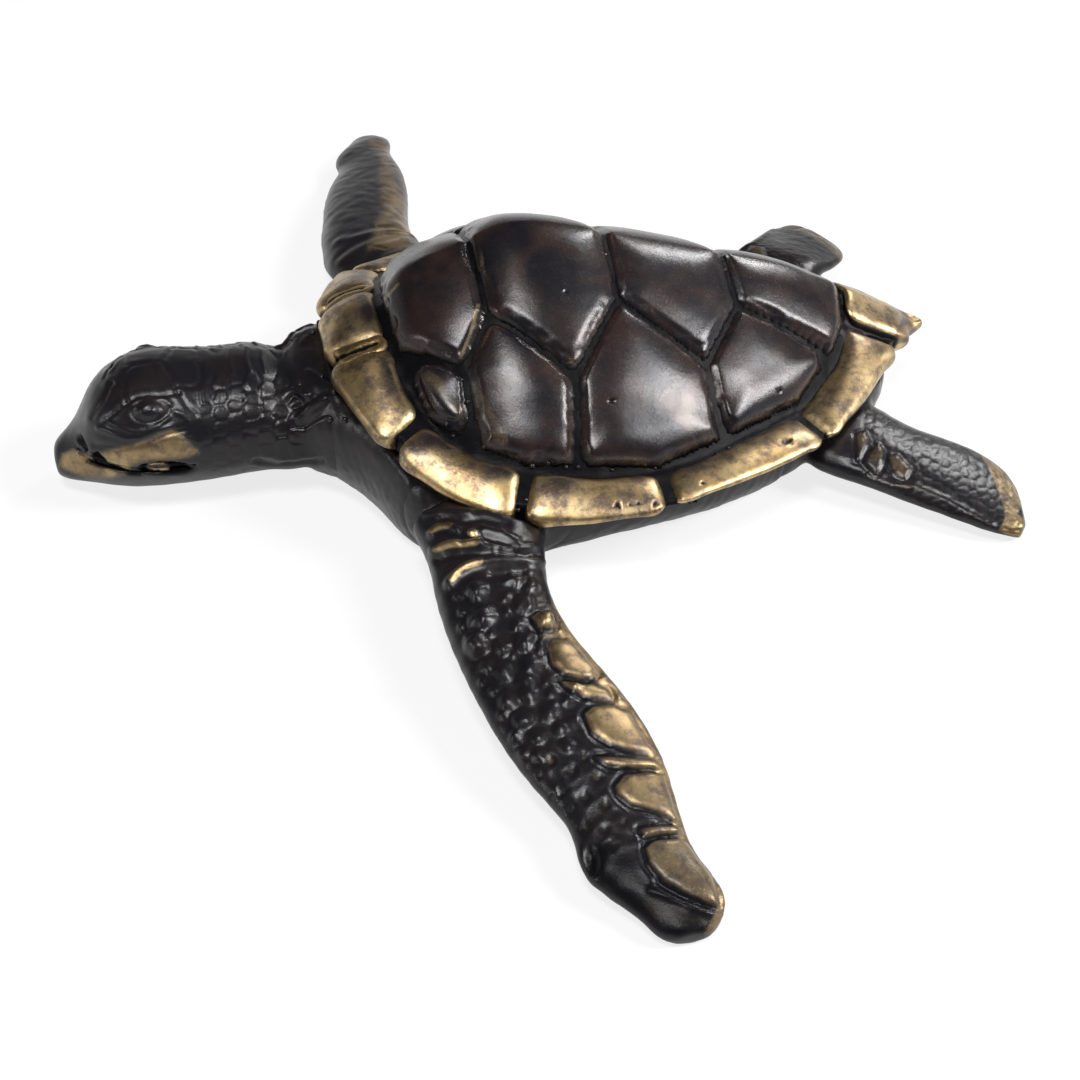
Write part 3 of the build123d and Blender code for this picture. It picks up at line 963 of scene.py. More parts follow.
@dataclass
class Shell:
    """The carapace and the raised plates on it."""

    paints: Paintbox
    plate_skin: float = 0.38
    hind_share: float = 0.7
    groove_skin: float = 0.57
    wall_growth: float = 0.95
    crown_growth: float = 1.1
    outer_growth: dict = field(default_factory=lambda: {"1": 2.4, "2": 2.3, "3": 2.0})
    other_growth: float = 0.3
    rim_groove: float = 1.5
    thin_groove: float = 0.05
    seam_fill: float = 0.80
    pit_depth: float = 0.30
    nape_seam: tuple = ((340, 360), (378, 346))
    narrow: tuple = (((338, 361), (384, 343)), ((833, 439), (799, 408)), ((852, 322), (896, 342)))
    # The tail tip's underside face in the picture, for a painted shade.
    tip_facet_shade: tuple = ((904, 316), (897, 330), (890, 347), (906, 342), (917, 331), (912, 322))
    pits: tuple = (
        (618, 504, 3.0), (631, 503, 2.0), (638, 502, 2.4), (656, 503, 3.2), (788, 441, 4.4),
        (703, 482, 2.6), (612, 401, 3.4), (776, 391, 2.6), (565, 292, 1.8),
    )
    seam: tuple = (
        (373, 273), (369, 288), (373, 305), (392, 343), (402, 376), (425, 416), (479, 448),
        (527, 462), (586, 465), (655, 469), (712, 447), (799, 405), (822, 382), (845, 326),
    )
    floor: BVHTree | None = None
    solids: dict[str, BVHTree] = field(default_factory=dict)

    def build(self) -> None:
        """Make the carapace and every plate."""
        self.floor = solid_tree("carapace")
        self.carapace()
        names = sorted(name for name in frame["nodes"] if "_plate" in name)
        self.solids = {name: solid_tree(name) for name in names if name.startswith(RIM_NODES)}
        for number, name in enumerate(names):
            self.plate(name, number)

    def carapace(self) -> None:
        """The shell under the plates, seen in the grooves between them."""
        shell = Casting("carapace", self.groove_skin)
        shell.push(0.05 * waves(shell.points, 3.4, 24, 3) - 0.05)
        shell.points = TIP.lowered(shell.points)
        shell.write()
        pixels, facing = shell.look()
        gap = line_gap(pixels, self.nape_seam)
        filled = ease(gap, 11.0, 8.0) * ease(facing, 0.0, 0.2) * ease(shell.points[:, 2], 6.0, 8.0)
        shell.push(filled * (self.seam_fill - 0.3 * ease(gap, 2.6, 0.8)))
        shell.mark("worn", 0.62 * filled * ease(gap, 1.0, 2.6))
        # Darkened: the groove floor, as patina with painted shade, and a dark joint along the nape
        # seam.
        shell.mark("hollow", 0.35 * (1.0 - filled) + filled * ease(gap, 2.4, 1.0))
        shell.finish(Slot.GROOVE, self.paints)

    def plate(self, name: str, number: int) -> None:
        """One raised plate, domed towards its middle and rounded at its edges.

        Args:
            name: The plate's node.
            number: Its place among the plates, which sets its own unevenness.
        """
        rim, hind = name.startswith(RIM_NODES), name == "tail_plate"
        rounding = ODD_ROUNDINGS.get(name, RIM_ROUNDING if rim else CROWN_ROUNDING)
        plate = (Casting(name, self.hind_share * self.plate_skin, ground="carapace", blend=8)
                 if hind else Casting(name, self.plate_skin))
        below = [self.floor.find_nearest(Vector(point)) for point in plate.points]
        height = np.array([found[3] for found in below])
        inward = -np.array([found[1] for found in below])
        tall = ease(height, 0.10, 0.55)
        inland = self.inland(plate)
        dome = np.clip(1.0 - inland / rounding.reach, 0.0, 1.0)
        flank = np.clip(1.0 - inland / rounding.flank_reach, 0.0, 1.0)
        drop = plate.blur(rounding.depth * dome ** 1.8, 45)
        drop += plate.blur(rounding.flank * flank ** 2, 6)
        uneven = 0.03 * waves(plate.points, 9.0, 16, 20 + number)
        plate.points += inward * (rounding.foot * ease(height, 0.45, 0.10))[:, None]
        plate.push((uneven - drop) * tall)
        pixels, facing = plate.look()
        if rim:
            self.widen(plate, pixels, tall)
        else:
            plate.push(self.crown_growth * ease(plate.normals[:, 2], 0.85, 0.5))
        if hind:
            plate.points = TIP.lowered(plate.points)
            plate.write()
            pixels, facing = plate.look()
        plate.soften(rounding.turns, 1.0 - tall)
        worn = self.rim_wear_glints_and_shade(plate, inland) if rim else self.crown_wear_and_glints(plate, inland)
        pit = self.pitted(pixels) * (facing > 0.0)
        plate.push(-self.pit_depth * pit)
        # The brass mark holds rubbed brass and, on the plates, painted highlights.
        plate.mark("worn", worn * ease(height, 0.5, 1.0) * (1.0 - 0.6 * pit))
        filled = ease(line_gap(pixels, self.nape_seam), 12.0, 9.0) if rim else 0.0
        # Darkened: the plate's foot into the groove and its pits, as patina with painted shade.
        plate.mark("hollow", np.maximum(ease(height, 0.8, 0.3) * (1.0 - 0.9 * filled), 0.95 * pit))
        plate.finish(Slot.BRASS if rim else Slot.PLATE, self.paints)

    def inland(self, plate: Casting) -> np.ndarray:
        """Distance from each point to the nearest sharp edge that stands clear of the shell.

        Args:
            plate: The plate.

        Returns:
            One distance for each point.
        """
        clear = [place for place in plate.creases
                 if (self.floor.find_nearest(Vector(place))[3] or 0.0) > 0.7]
        edges = KDTree(len(clear))
        for number, place in enumerate(clear):
            edges.insert(Vector(place), number)
        edges.balance()
        return np.array([edges.find(Vector(point))[2] for point in plate.points])

    def widen(self, plate: Casting, pixels: np.ndarray, tall: np.ndarray) -> None:
        """Grow a rim plate's walls, so that its grooves look as narrow as in the picture.

        Args:
            plate: The plate.
            pixels: Where its points fall in the picture.
            tall: How far each point stands clear of the shell.
        """
        close = np.zeros(len(pixels))
        for line in self.narrow:
            close = np.maximum(close, ease(line_gap(pixels, line), 18.0, 10.0))
        groove = self.rim_groove * (1.0 - close) + self.thin_groove * close
        sideways = ease(plate.normals[:, 2], 0.85, 0.5)
        share = np.clip((self.room(plate, sideways) - groove) / 2.0, 0.0, 1.8)
        plate.push(plate.blur(share * sideways, 4))
        inner = ease(line_gap(pixels, self.seam), 24.0, 10.0)
        sideways = ease(plate.normals[:, 2], 0.80, 0.45) * (1.0 - close)
        plate.push(self.wall_growth * sideways * inner * tall)
        outer = 0.0 if plate.node == "tail_plate" else self.outer_growth.get(
            plate.node[-1], self.other_growth)
        plate.push(outer * ease(plate.normals[:, 2], 0.65, 0.25) * (1.0 - inner) * tall)

    def pitted(self, pixels: np.ndarray) -> np.ndarray:
        """How far each point lies in one of the casting's pits, 1 at the bottom.

        Args:
            pixels: Where the points fall in the picture.

        Returns:
            One value for each point.
        """
        pit = np.zeros(len(pixels))
        for across, down, size in self.pits:
            gap = np.hypot(pixels[:, 0] - across, (pixels[:, 1] - down) * 1.5)
            gap *= 1.0 + 0.35 * waves(pixels, 5.0, 8, int(across))
            pit = np.maximum(pit, ease(gap, size * 1.25, size * 0.5))
        return pit

    def room(self, plate: Casting, sideways: np.ndarray) -> np.ndarray:
        """Distance from a plate's walls to the next plate of the rim, 0 where none is near.

        Args:
            plate: The plate.
            sideways: How far each point's surface faces sideways.

        Returns:
            One distance for each point.
        """
        others = [tree for node, tree in self.solids.items() if node != plate.node]
        room = np.zeros(len(plate.points))
        for number in np.flatnonzero(sideways > 0.05):
            place = Vector(plate.points[number])
            gaps = [found[3] for found in (tree.find_nearest(place, 5.5) for tree in others)
                    if found[0] is not None]
            room[number] = min(gaps) if gaps else 0.0
        walls = room[room > 0.0]
        log.info("%s: grooves %.2f mm wide", plate.node,
                 float(np.median(walls)) if len(walls) else 0.0)
        return room

    def crown_wear_and_glints(self, plate: Casting, inland: np.ndarray) -> np.ndarray:
        """A thin line along a dark plate's edge, part rubbed brass and part painted highlight.

        Args:
            plate: The plate.
            inland: Distance of each point from the plate's edge.

        Returns:
            Brass colour for each point, from rubbing and painted highlight; 1 for bare brass.
        """
        pixels, _ = plate.look()
        # A thin line round every edge, partly rubbed brass, partly painted edge highlight.
        worn = 0.25 * ease(inland, 0.9, 0.3) * (0.5 + 0.5 * waves(plate.points, 9.0, 12, 71))
        for line, half, amount in CROWN_RUBS_AND_GLINTS:
            worn = np.maximum(worn, amount * ease(line_gap(pixels, line), half * 1.5, half * 0.4))
        return worn

    def rim_wear_glints_and_shade(self, plate: Casting, inland: np.ndarray) -> np.ndarray:
        """Brass nearly all over, with dark left here and there, painted highlight and shade.

        Args:
            plate: The plate.
            inland: Distance of each point from the plate's edge.

        Returns:
            Brass colour for each point, with painted highlight and shade; 1 for bare brass.
        """
        patchy = waves(plate.points, 8.0, 12, 73)
        pixels, _ = plate.look()
        inner = ease(line_gap(pixels, self.seam), 26.0, 4.0)
        # Painted shade: the tail tip's underside face is kept dark.
        facet_shade = ease(ring_gap(pixels, self.tip_facet_shade), 2.0, -2.0)
        # More brass at the edges: partly rubbed brass, partly painted highlight.
        return 0.60 + 0.16 * patchy - 0.34 * inner + 0.34 * ease(inland, 1.8, 0.4) - 0.45 * facet_shade


# Body, head and limbs

# The shoulder's folds in the picture, each raised or sunk by an amount in millimetres
SHOULDER_FOLDS = (
    (((433, 551), (446, 545), (462, 542), (482, 543)), 4.0, 0.75),
    (((482, 545), (505, 547), (532, 546)), 3.5, 0.45),
    (((449, 584), (457, 572), (470, 565), (494, 559), (518, 559), (541, 563)), 4.5, 0.85),
    (((438, 560), (465, 553), (500, 554), (538, 553)), 3.5, -0.55),
    (((492, 573), (506, 571), (524, 570)), 4.0, -0.75),
    (((432, 533), (438, 527), (449, 525), (458, 530)), 4.0, 0.70),
    (((471, 534), (475, 535)), 5.0, 0.95),
    (((484, 529), (500, 532), (517, 540)), 3.5, 0.50),
    (((462, 541), (480, 537), (498, 541), (515, 548)), 3.0, -0.60),
    (((440, 519), (462, 521), (484, 519), (506, 524)), 3.5, -0.55),
    (((498, 549), (514, 552), (530, 555)), 3.0, -0.65),
    (((425, 514), (447, 511), (470, 512)), 3.5, 0.45),
)
SHOULDER_GOLD = (((437, 550), (450, 545), (478, 543)), ((453, 580), (462, 569), (480, 563)),
                 ((433, 531), (440, 527), (450, 526)), ((471, 534), (475, 535)))


def folded(pixels: np.ndarray, folds: Sequence[tuple[Line, float, float]],
           share: float = 1.0) -> np.ndarray:
    """How far a set of folds lifts each point.

    Args:
        pixels: Where the points fall in the picture.
        folds: Each fold's line, half its width and its height in millimetres.
        share: How much of their height they get.

    Returns:
        How far each point moves in millimetres.
    """
    lift = np.zeros(len(pixels))
    for line, half, height in folds:
        lift += share * height * hump(line_gap(pixels, line), half)
    return lift


def shoulder_gold(pixels: np.ndarray) -> np.ndarray:
    """Brass on the crests of the shoulder's folds."""
    return sum(0.9 * ease(line_gap(pixels, line), 5.0, 1.5) for line in SHOULDER_GOLD)


@dataclass
class Trunk:
    """The body under the shell."""

    paints: Paintbox
    skin: float = 0.55
    sunk: float = 0.36
    limbs: tuple = ("head_and_neck", "front_left_flipper", "front_right_flipper",
                    "rear_left_flipper", "rear_right_flipper", "tail")

    def build(self) -> None:
        """Leathery skin with soft lumps, a little lower where a limb's apron lies over it."""
        body = Casting("body", self.skin)
        body.soften(4)
        for name in self.limbs:
            gap = gaps_to(solid_tree(name), body.points)
            body.push(-self.sunk * ease(gap, 0.95 * body.apron, 0.5 * body.apron))
        pixels, facing = body.look()
        top = ease(facing, 0.0, 0.3)
        body.push(skin_lumps(body.points) + folded(pixels, SHOULDER_FOLDS) * top)
        body.mark("worn", shoulder_gold(pixels) * top)
        body.finish(Slot.SKIN, self.paints)


@dataclass
class Head:
    """The head and neck, modelled on what the picture shows of the near side."""

    paints: Paintbox
    skin: float = 0.30
    collar_x: float = -66.0
    eye: Pixel = (150.5, 410.5)
    mouth_bead: Pixel = (157, 466.6)
    bead_turn: float = 3.0
    lid_share: float = 0.62
    seams: tuple = (
        ((111.6, 383), (123.5, 392.6), (126.7, 403.5)),
        ((123.5, 392.6), (124.6, 372), (133.2, 364.4), (160.3, 360)),
        ((160.3, 360), (170, 374), (175.5, 387), (178.8, 393)),
        ((178.8, 393), (161.4, 396), (137.6, 398), (126.7, 403.5)),
        ((175.5, 387), (194, 387), (201.5, 379.6), (200.4, 366.6), (195, 359)),
        ((160.3, 360), (161.4, 350.4), (157, 345)),
        ((83.4, 385), (96.4, 372), (111.6, 383)),
        ((96.4, 372), (105, 357), (126.7, 352.5), (133.2, 364.4)),
        ((178.8, 393), (186, 405), (196, 415)),
        ((111.6, 383), (104, 400), (92, 418)),
        ((126.7, 403.5), (116, 412), (104, 421)),
    )
    lids: tuple = (
        (((133, 406), (138, 400.5), (150, 398), (163, 400), (170, 405)), 2.0, 0.42),
        (((98.5, 428), (111.5, 433), (126.7, 438.5), (140, 438), (157, 431), (172, 426)),
         2.6, 0.50),
        (((110, 423), (122, 428.5), (133, 432.5), (146, 431), (160, 425), (168, 418)), 2.0, 0.40),
        (((176, 412), (184, 415), (189, 422)), 2.6, 0.35),
        (((94, 445), (120, 447.5), (146, 443), (166, 434), (184, 430)), 3.2, -0.45),
        (((181, 440), (192, 438), (199, 443)), 2.0, 0.30),
        (((286, 397), (295, 393), (306, 398)), 3.6, 0.75),
        (((300, 421), (313, 406), (326, 398)), 3.4, 0.95),
        (((294, 410), (303, 407), (313, 398)), 2.6, -0.60),
        (((304, 428), (322, 414), (336, 404)), 3.0, -0.80),
        (((255, 461), (275, 466), (300, 463), (322, 461)), 2.4, -0.95),
        (((262, 455), (285, 459), (312, 456)), 3.0, 0.45),
        (((309, 372), (320, 378), (331, 386)), 3.0, 0.50),
    )
    band: tuple = (
        (57, 466), (60, 452), (72, 447), (85, 452), (96, 453), (112, 447), (130, 444), (148, 437.5),
        (158, 432), (171, 428.5), (181, 431), (190, 438), (200, 446), (206, 452), (200, 458),
        (180, 461), (150, 462), (134, 467), (133, 476), (112, 482), (92, 482), (74, 476), (61, 470),
    )
    lips: tuple = ((88, 461), (97, 464.5), (108, 466), (118, 469), (128, 472), (140, 472.5))
    notch: tuple = ((91, 454), (97, 452), (104, 459), (108, 464), (103, 467), (92, 464))
    nostril: tuple = ((79.5, 437.5), (82.5, 444), (85, 450))
    neck_arcs: tuple = (
        ((205, 344), (211, 350), (214, 358)), ((221, 348), (229, 358), (233, 374)),
        ((236, 347), (245, 358), (250, 374)), ((253, 348), (261, 359), (265, 374)),
        ((201, 391), (201, 398), (202, 404)), ((225, 386), (225, 392), (226, 397)),
        ((244, 394), (245, 399), (244, 405)), ((260, 388), (261, 396), (262, 404)),
        ((285, 394), (296, 393), (306, 396)),
    )

    def build(self) -> None:
        """Model the whole head."""
        head = Casting("head_and_neck", self.skin, ground="body")
        head.soften(5)
        pixels, facing = head.look()
        top = ease(facing, 0.20, 0.50)
        lift = (self.crown(pixels) + self.face(pixels) + self.neck(pixels)) * top
        head.push(lift + 0.03 * waves(head.points, 4.0, 20, 41))
        head.soften(2)
        self.flare(head)
        mouth = self.mouth(pixels)
        head.push(-1.0 * mouth * top)
        swelling = oval_gap(pixels, self.mouth_bead, 13.5, 3.6, self.bead_turn)
        head.push(0.85 * ease(swelling, 1.1, 0.4) * top)
        bead = ease(oval_gap(pixels, self.mouth_bead, 14.0, 3.8, self.bead_turn), 1.05, 0.7)
        head.mark("worn", top * np.maximum(self.gold(pixels) * (1.0 - mouth), 0.8 * bead))
        # Darkened: the mouth and the nostril, as patina with painted shade.
        head.mark("hollow", np.maximum(mouth - bead, 0.7 * self.slit(pixels, self.nostril, 2.0)))
        head.finish(Slot.SKIN, self.paints)

    def flare(self, head: Casting) -> None:
        """Widen the neck towards the shoulders, most of all on top.

        Args:
            head: The head's casting.
        """
        near = ease(head.points[:, 0], self.collar_x - 15.0, self.collar_x - 1.0)
        near *= ease(head.points[:, 0], self.collar_x + 3.0, self.collar_x - 1.0)
        upward = ease(head.normals[:, 2], 0.1, 0.8)
        ripple = 0.06 * waves(head.points, 5.0, 16, 45) * near
        head.push(near * (0.05 + 0.5 * upward) + ripple)

    def slit(self, pixels: np.ndarray, line: Line, half: float) -> np.ndarray:
        """How far each point lies in a cut along a line, 1 at its bottom."""
        return ease(line_gap(pixels, line), half * 1.5, half * 0.4)

    def crown(self, pixels: np.ndarray) -> np.ndarray:
        """Plates on the top and side of the head, parted by fine seams.

        Args:
            pixels: Where the points fall in the picture.

        Returns:
            How far each point moves in millimetres.
        """
        lift = np.zeros(len(pixels))
        for line in self.seams:
            gap = line_gap(pixels, line)
            lift += -0.13 * hump(gap, 1.7) + 0.05 * hump(gap, 3.0, 5.0)
        return lift

    def face(self, pixels: np.ndarray) -> np.ndarray:
        """Eye, lids, nostril and the folds of the cheek.

        Args:
            pixels: Where the points fall in the picture.

        Returns:
            How far each point moves in millimetres.
        """
        rings = oval_gap(pixels, self.eye, 17.0, 10.5, -6)
        ripple = 0.07 * np.cos(rings * 2.0 * math.pi * 1.9) * ease(rings, 1.15, 0.85)
        lift = ripple + 0.35 * ease(rings, 1.0, 0.0) - 0.22 * ease(np.abs(rings - 1.08), 0.20, 0.0)
        lift += folded(pixels, self.lids, self.lid_share)
        return lift - 0.75 * self.slit(pixels, self.nostril, 2.2)

    def mouth(self, pixels: np.ndarray) -> np.ndarray:
        """The mouth: a slit from a notch behind the beak back to an almond.

        Args:
            pixels: Where the points fall in the picture.

        Returns:
            How far each point lies in the mouth, 1 at its bottom.
        """
        almond = ease(oval_gap(pixels, (166, 468.6), 30.0, 7.0, 0), 1.05, 0.75)
        notch = ease(ring_gap(pixels, self.notch), 1.5, -1.5)
        return np.maximum.reduce([self.slit(pixels, self.lips, 2.6), almond, notch])

    def neck(self, pixels: np.ndarray) -> np.ndarray:
        """Rows of overlapping scales on the neck.

        Args:
            pixels: Where the points fall in the picture.

        Returns:
            How far each point moves in millimetres.
        """
        middles = scattered((206, 376), (300, 470), (15.5, 15.0), 0.16, 42)
        first, second, which = cells(pixels, middles)
        lean = (middles[which][:, 0] - pixels[:, 0]) / 8.0
        area = (ease(pixels[:, 0], 196, 212) * ease(pixels[:, 0], 318, 296)
                * ease(pixels[:, 1], 366, 380))
        lift = area * (0.11 * ease(second - first, 0.3, 5.5) + 0.10 * np.clip(lean, -1, 1) - 0.08)
        for line in self.neck_arcs:
            lift += 0.26 * hump(line_gap(pixels, line), 1.7)
        return lift

    def gold(self, pixels: np.ndarray) -> np.ndarray:
        """The rubbed band along the jaw and cheek."""
        fade = 1.0 - 0.35 * ease(pixels[:, 0], 165.0, 205.0)
        return 0.66 * fade * ease(ring_gap(pixels, self.band), 5.0, -8.0)


@dataclass(frozen=True)
class LimbFrame:
    """A pair of flippers' own directions, so that both carry one pattern."""

    root: tuple[float, float]
    left_heading: float
    right_heading: float
    left_chord: float
    right_chord: float
    reach: float
    right_lift: float = 0.0

    def axes(self, side: Side) -> tuple[np.ndarray, np.ndarray]:
        """Outward and chord directions of one flipper.

        Args:
            side: Which of the two flippers.

        Returns:
            Both directions.
        """
        heading = self.left_heading if side is Side.LEFT else self.right_heading
        turn = math.radians(heading)
        return (np.array([math.sin(turn), side.value * math.cos(turn), 0.0]),
                np.array([math.cos(turn), -side.value * math.sin(turn), 0.0]))

    def local(self, points: np.ndarray, side: Side) -> tuple[np.ndarray, np.ndarray]:
        """Distance out and distance along the chord, in millimetres of the left flipper.

        Args:
            points: Points in millimetres, one row each.
            side: Which of the two flippers.

        Returns:
            Both distances for each point.
        """
        out, across = self.axes(side)
        rel = points - np.array([self.root[0], side.value * self.root[1], 0.0])
        chord = 1.0 if side is Side.LEFT else self.left_chord / self.right_chord
        return rel @ out, rel @ across * chord

    def near(self, side: Side) -> Callable:
        """A map from one flipper to the same place on the left one.

        Args:
            side: Which of the two flippers.

        Returns:
            The map, from points and normals to points and normals.
        """
        left_out, left_across = self.axes(Side.LEFT)

        def moved(points: np.ndarray, normals: np.ndarray) -> tuple[np.ndarray, np.ndarray]:
            """Points and normals of one flipper, laid where they fall on the left one.

            Args:
                points: Points in millimetres, one row each.
                normals: Their directions, one row each.

            Returns:
                The laid points and normals.
            """
            if side is Side.LEFT:
                return points, normals
            away, along = self.local(points, side)
            out, across = self.axes(side)
            height = points[:, 2] - self.right_lift * away / self.reach
            base = np.array([self.root[0], -self.root[1], 0.0])
            places = base + np.outer(away, left_out) + np.outer(along, left_across)
            places[:, 2] = height
            turned = np.outer(normals @ out, left_out) + np.outer(normals @ across, left_across)
            turned[:, 2] = normals[:, 2]
            return places, turned

        return moved


@dataclass
class FrontFlipper:
    """A front flipper: pebbled scales, and large rubbed scales along its trailing edge."""

    side: Side
    paints: Paintbox
    skin: float = 0.34
    far_relief: float = 0.10
    far_folds: float = 0.4
    frame: LimbFrame = LimbFrame(root=(-39.5, 44.0), left_heading=0.0, right_heading=-9.0,
                                 left_chord=21.5, right_chord=19.0, reach=79.0)
    pebbles: tuple = (
        (476, 590, 10), (480, 600, 4), (515, 581, 8), (506, 598, 5), (525, 604, 9), (532, 587, 7),
        (483, 619, 12), (462, 611, 5), (507, 612, 4), (545, 622, 10), (476, 643, 11), (492, 632, 4),
        (502, 648, 7), (518, 626, 6), (525, 643, 9), (541, 646, 6), (531, 666, 10), (487, 666, 7),
        (503, 671, 9), (514, 655, 4), (526, 682, 8), (480, 682, 4), (507, 701, 9), (529, 693, 9),
        (553, 693, 7), (522, 720, 9), (550, 711, 9), (502, 714, 5), (537, 737, 7), (515, 736, 7),
        (561, 728, 8), (523, 754, 7), (547, 680, 6), (569, 699, 7), (575, 689, 6), (460, 628, 4),
        (538, 755, 6), (568, 745, 7), (494, 690, 5), (459, 596, 4), (572, 722, 5),
    )
    diamonds: tuple = (
        (550, 761, 8), (571, 771, 9), (597, 777, 9), (563, 791, 8), (585, 797, 10), (606, 804, 8),
        (571, 811, 7), (585, 827, 9), (604, 829, 8), (623, 822, 7), (612, 845, 8), (584, 757, 8),
        (540, 775, 7), (552, 798, 6), (632, 838, 6),
    )
    scales: tuple = (
        ((549, 647), (553, 640.5), (567, 639), (577, 647), (598, 673), (585, 679), (566, 674),
         (553, 663)),
        ((585, 714), (593, 707.4), (614, 706), (628, 711.4), (648, 744), (655, 752), (630, 749),
         (609, 743.6), (593, 733)),
        ((615.6, 786.5), (625, 775.7), (649, 771.7), (663, 776), (674, 808), (677, 820),
         (649, 809), (630, 804), (618, 794.5)),
        ((645, 848), (654.5, 840), (679, 837), (690, 848), (712, 877.5), (719, 907), (689, 896),
         (665, 883), (649, 864)),
        ((532, 617), (545, 613), (555, 621), (552, 629), (540, 629)),
        ((562, 681), (583, 683), (607, 689), (611, 697), (590, 697), (572, 690)),
        ((596, 757), (622, 758), (655, 762), (660, 768), (630, 767), (606, 764)),
        ((640, 829), (660, 826), (679, 828), (684, 835), (660, 834), (645, 838)),
    )
    trailing: tuple = (
        (560, 625), (577, 647), (598, 673), (628, 711), (653, 750), (667, 778), (677, 817),
        (687, 848), (715, 882), (724, 905), (709, 934),
    )
    far_pulls: tuple = (
        ((357, 268), (322, 270)), ((345, 243), (323, 243)), ((336, 218), (327, 215)),
        ((330, 190), (327, 190)), ((329, 175), (330, 174)), ((328, 163), (341, 164)),
        ((334, 152), (347, 150)), ((345, 142), (353, 141)), ((366, 137), (372, 134)),
        ((380, 141), (388, 139)), ((384, 152), (392, 153)), ((394, 168), (397, 168)),
        ((405, 182), (401, 182)), ((408, 200), (407, 203)), ((408, 218), (412, 218)),
        ((423, 241), (417, 240)), ((370, 200), (370, 200)), ((385, 262), (372, 262)),
    )
    far_brass: tuple = (
        (366, 138), (388, 136), (402, 180), (417, 226), (418, 245), (402, 254), (366, 250),
        (372, 224), (381, 206), (374, 186), (378, 165),
    )
    far_lines: tuple = (((378, 226), (393, 225), (410, 229)), ((369, 244), (387, 248)))
    # Line of the painted shade over the leading part of the tip.
    tip_shade: tuple = ((604, 862), (632, 884), (664, 908), (690, 926))
    tip_gold: tuple = ((622, 886), (660, 893), (716, 915), (711, 930), (690, 938), (652, 922))
    notch: tuple = ((591.5, 861), 9.0, 17.0, -8)
    tip_ridge: tuple = ((650, 890), (690, 905), (712, 914))
    tip_furrow: tuple = ((655, 882), (686, 900), (708, 907))

    def build(self) -> None:
        """Model the flipper."""
        flipper = Casting(f"front_{self.side.name.lower()}_flipper", self.skin,
                          self.frame.near(self.side), "body")
        flipper.soften(4)
        pixels, facing = flipper.look()
        top = ease(facing, 0.05, 0.35) * ease(flipper.normals[:, 2], -0.05, 0.3)
        left = self.side is Side.LEFT
        relief, folds = (1.0, 1.0) if left else (self.far_relief, self.far_folds)
        lift = relief * (self.ground(pixels) + self.patches(pixels) + self.tip(pixels))
        flipper.push(lift * top + folded(pixels, SHOULDER_FOLDS) * top * folds
                     + 0.04 * waves(flipper.points, 3.0, 20, 51))
        flipper.soften(3 if left else 14)
        if not left:
            away, _ = self.frame.local(flipper.points, self.side)
            flipper.points = pulled(flipper.points, self.far_pulls, ease(away, -6.0, 6.0))
            flipper.write()
        flipper.mark("worn", self.gold(pixels) * ease(flipper.normals[:, 2], -0.5, -0.1)
                     if left else self.far_gold(flipper.points))
        # Darkened: painted shade on the tip, and patina with painted shade in recesses.
        flipper.mark("hollow", self.dark_patina_and_shade(pixels) * top * relief)
        flipper.finish(Slot.SKIN, self.paints)

    def far_gold(self, points: np.ndarray) -> np.ndarray:
        """Brass on the far flipper, as the picture shows it.

        Args:
            points: Points in millimetres, one row each.

        Returns:
            How far each point is rubbed, 1 for bare brass.
        """
        seen = VIEW.pixels(points)
        worn = 0.48 * ease(ring_gap(seen, self.far_brass), 12.0, -16.0)
        for line in self.far_lines:
            worn = np.maximum(worn, 0.72 * ease(line_gap(seen, line), 3.0, 1.2))
        return worn

    def ground(self, pixels: np.ndarray) -> np.ndarray:
        """Pebbles near the shoulder, and sunk diamonds towards the tip.

        Args:
            pixels: Where the points fall in the picture.

        Returns:
            How far each point moves in millimetres.
        """
        lift = np.zeros(len(pixels))
        taken = np.zeros(len(pixels))
        bent = pixels + 1.6 * np.stack([waves(pixels, 17.0, 10, 57), waves(pixels, 15.0, 10, 58)],
                                       axis=1)
        for across, down, size in self.pebbles:
            gap = np.hypot(bent[:, 0] - across, bent[:, 1] - down) / (size * 1.4)
            high = 0.125 if down < 660 else 0.075
            lift = np.maximum(lift, high * size * np.clip(1.0 - gap ** 2, 0.0, 1.0) ** 1.5)
            taken = np.maximum(taken, ease(gap, 2.4, 1.0))
        lift -= 0.12 * taken
        for across, down, size in self.diamonds:
            gap = (np.abs(bent[:, 0] - across) + np.abs(bent[:, 1] - down)) / size / 1.25
            lift += 0.10 * hump(gap, 0.34, 1.0) - 0.14 * ease(gap, 0.9, 0.3)
        return lift

    def patches(self, pixels: np.ndarray) -> np.ndarray:
        """Large flat scales with a sunk line round them and a ridge beyond it.

        Args:
            pixels: Where the points fall in the picture.

        Returns:
            How far each point moves in millimetres.
        """
        lift = np.zeros(len(pixels))
        for outline in self.scales:
            gap = ring_gap(pixels, outline)
            lift += 0.35 * ease(gap, 2.0, -4.0) + 0.10 * ease(gap, 0.0, -11.0)
            lift -= 0.34 * hump(gap, 2.4, 3.2)
            lift += 0.14 * hump(gap, 2.6, 8.5)
        return lift

    def tip(self, pixels: np.ndarray) -> np.ndarray:
        """A dip at the leading edge and a ridge that runs out to the tip.

        Args:
            pixels: Where the points fall in the picture.

        Returns:
            How far each point moves in millimetres.
        """
        lift = -0.75 * ease(oval_gap(pixels, *self.notch), 1.2, 0.3)
        lift += 0.35 * hump(line_gap(pixels, self.tip_ridge), 3.0)
        lift -= 0.45 * hump(line_gap(pixels, self.tip_furrow), 2.4)
        return lift

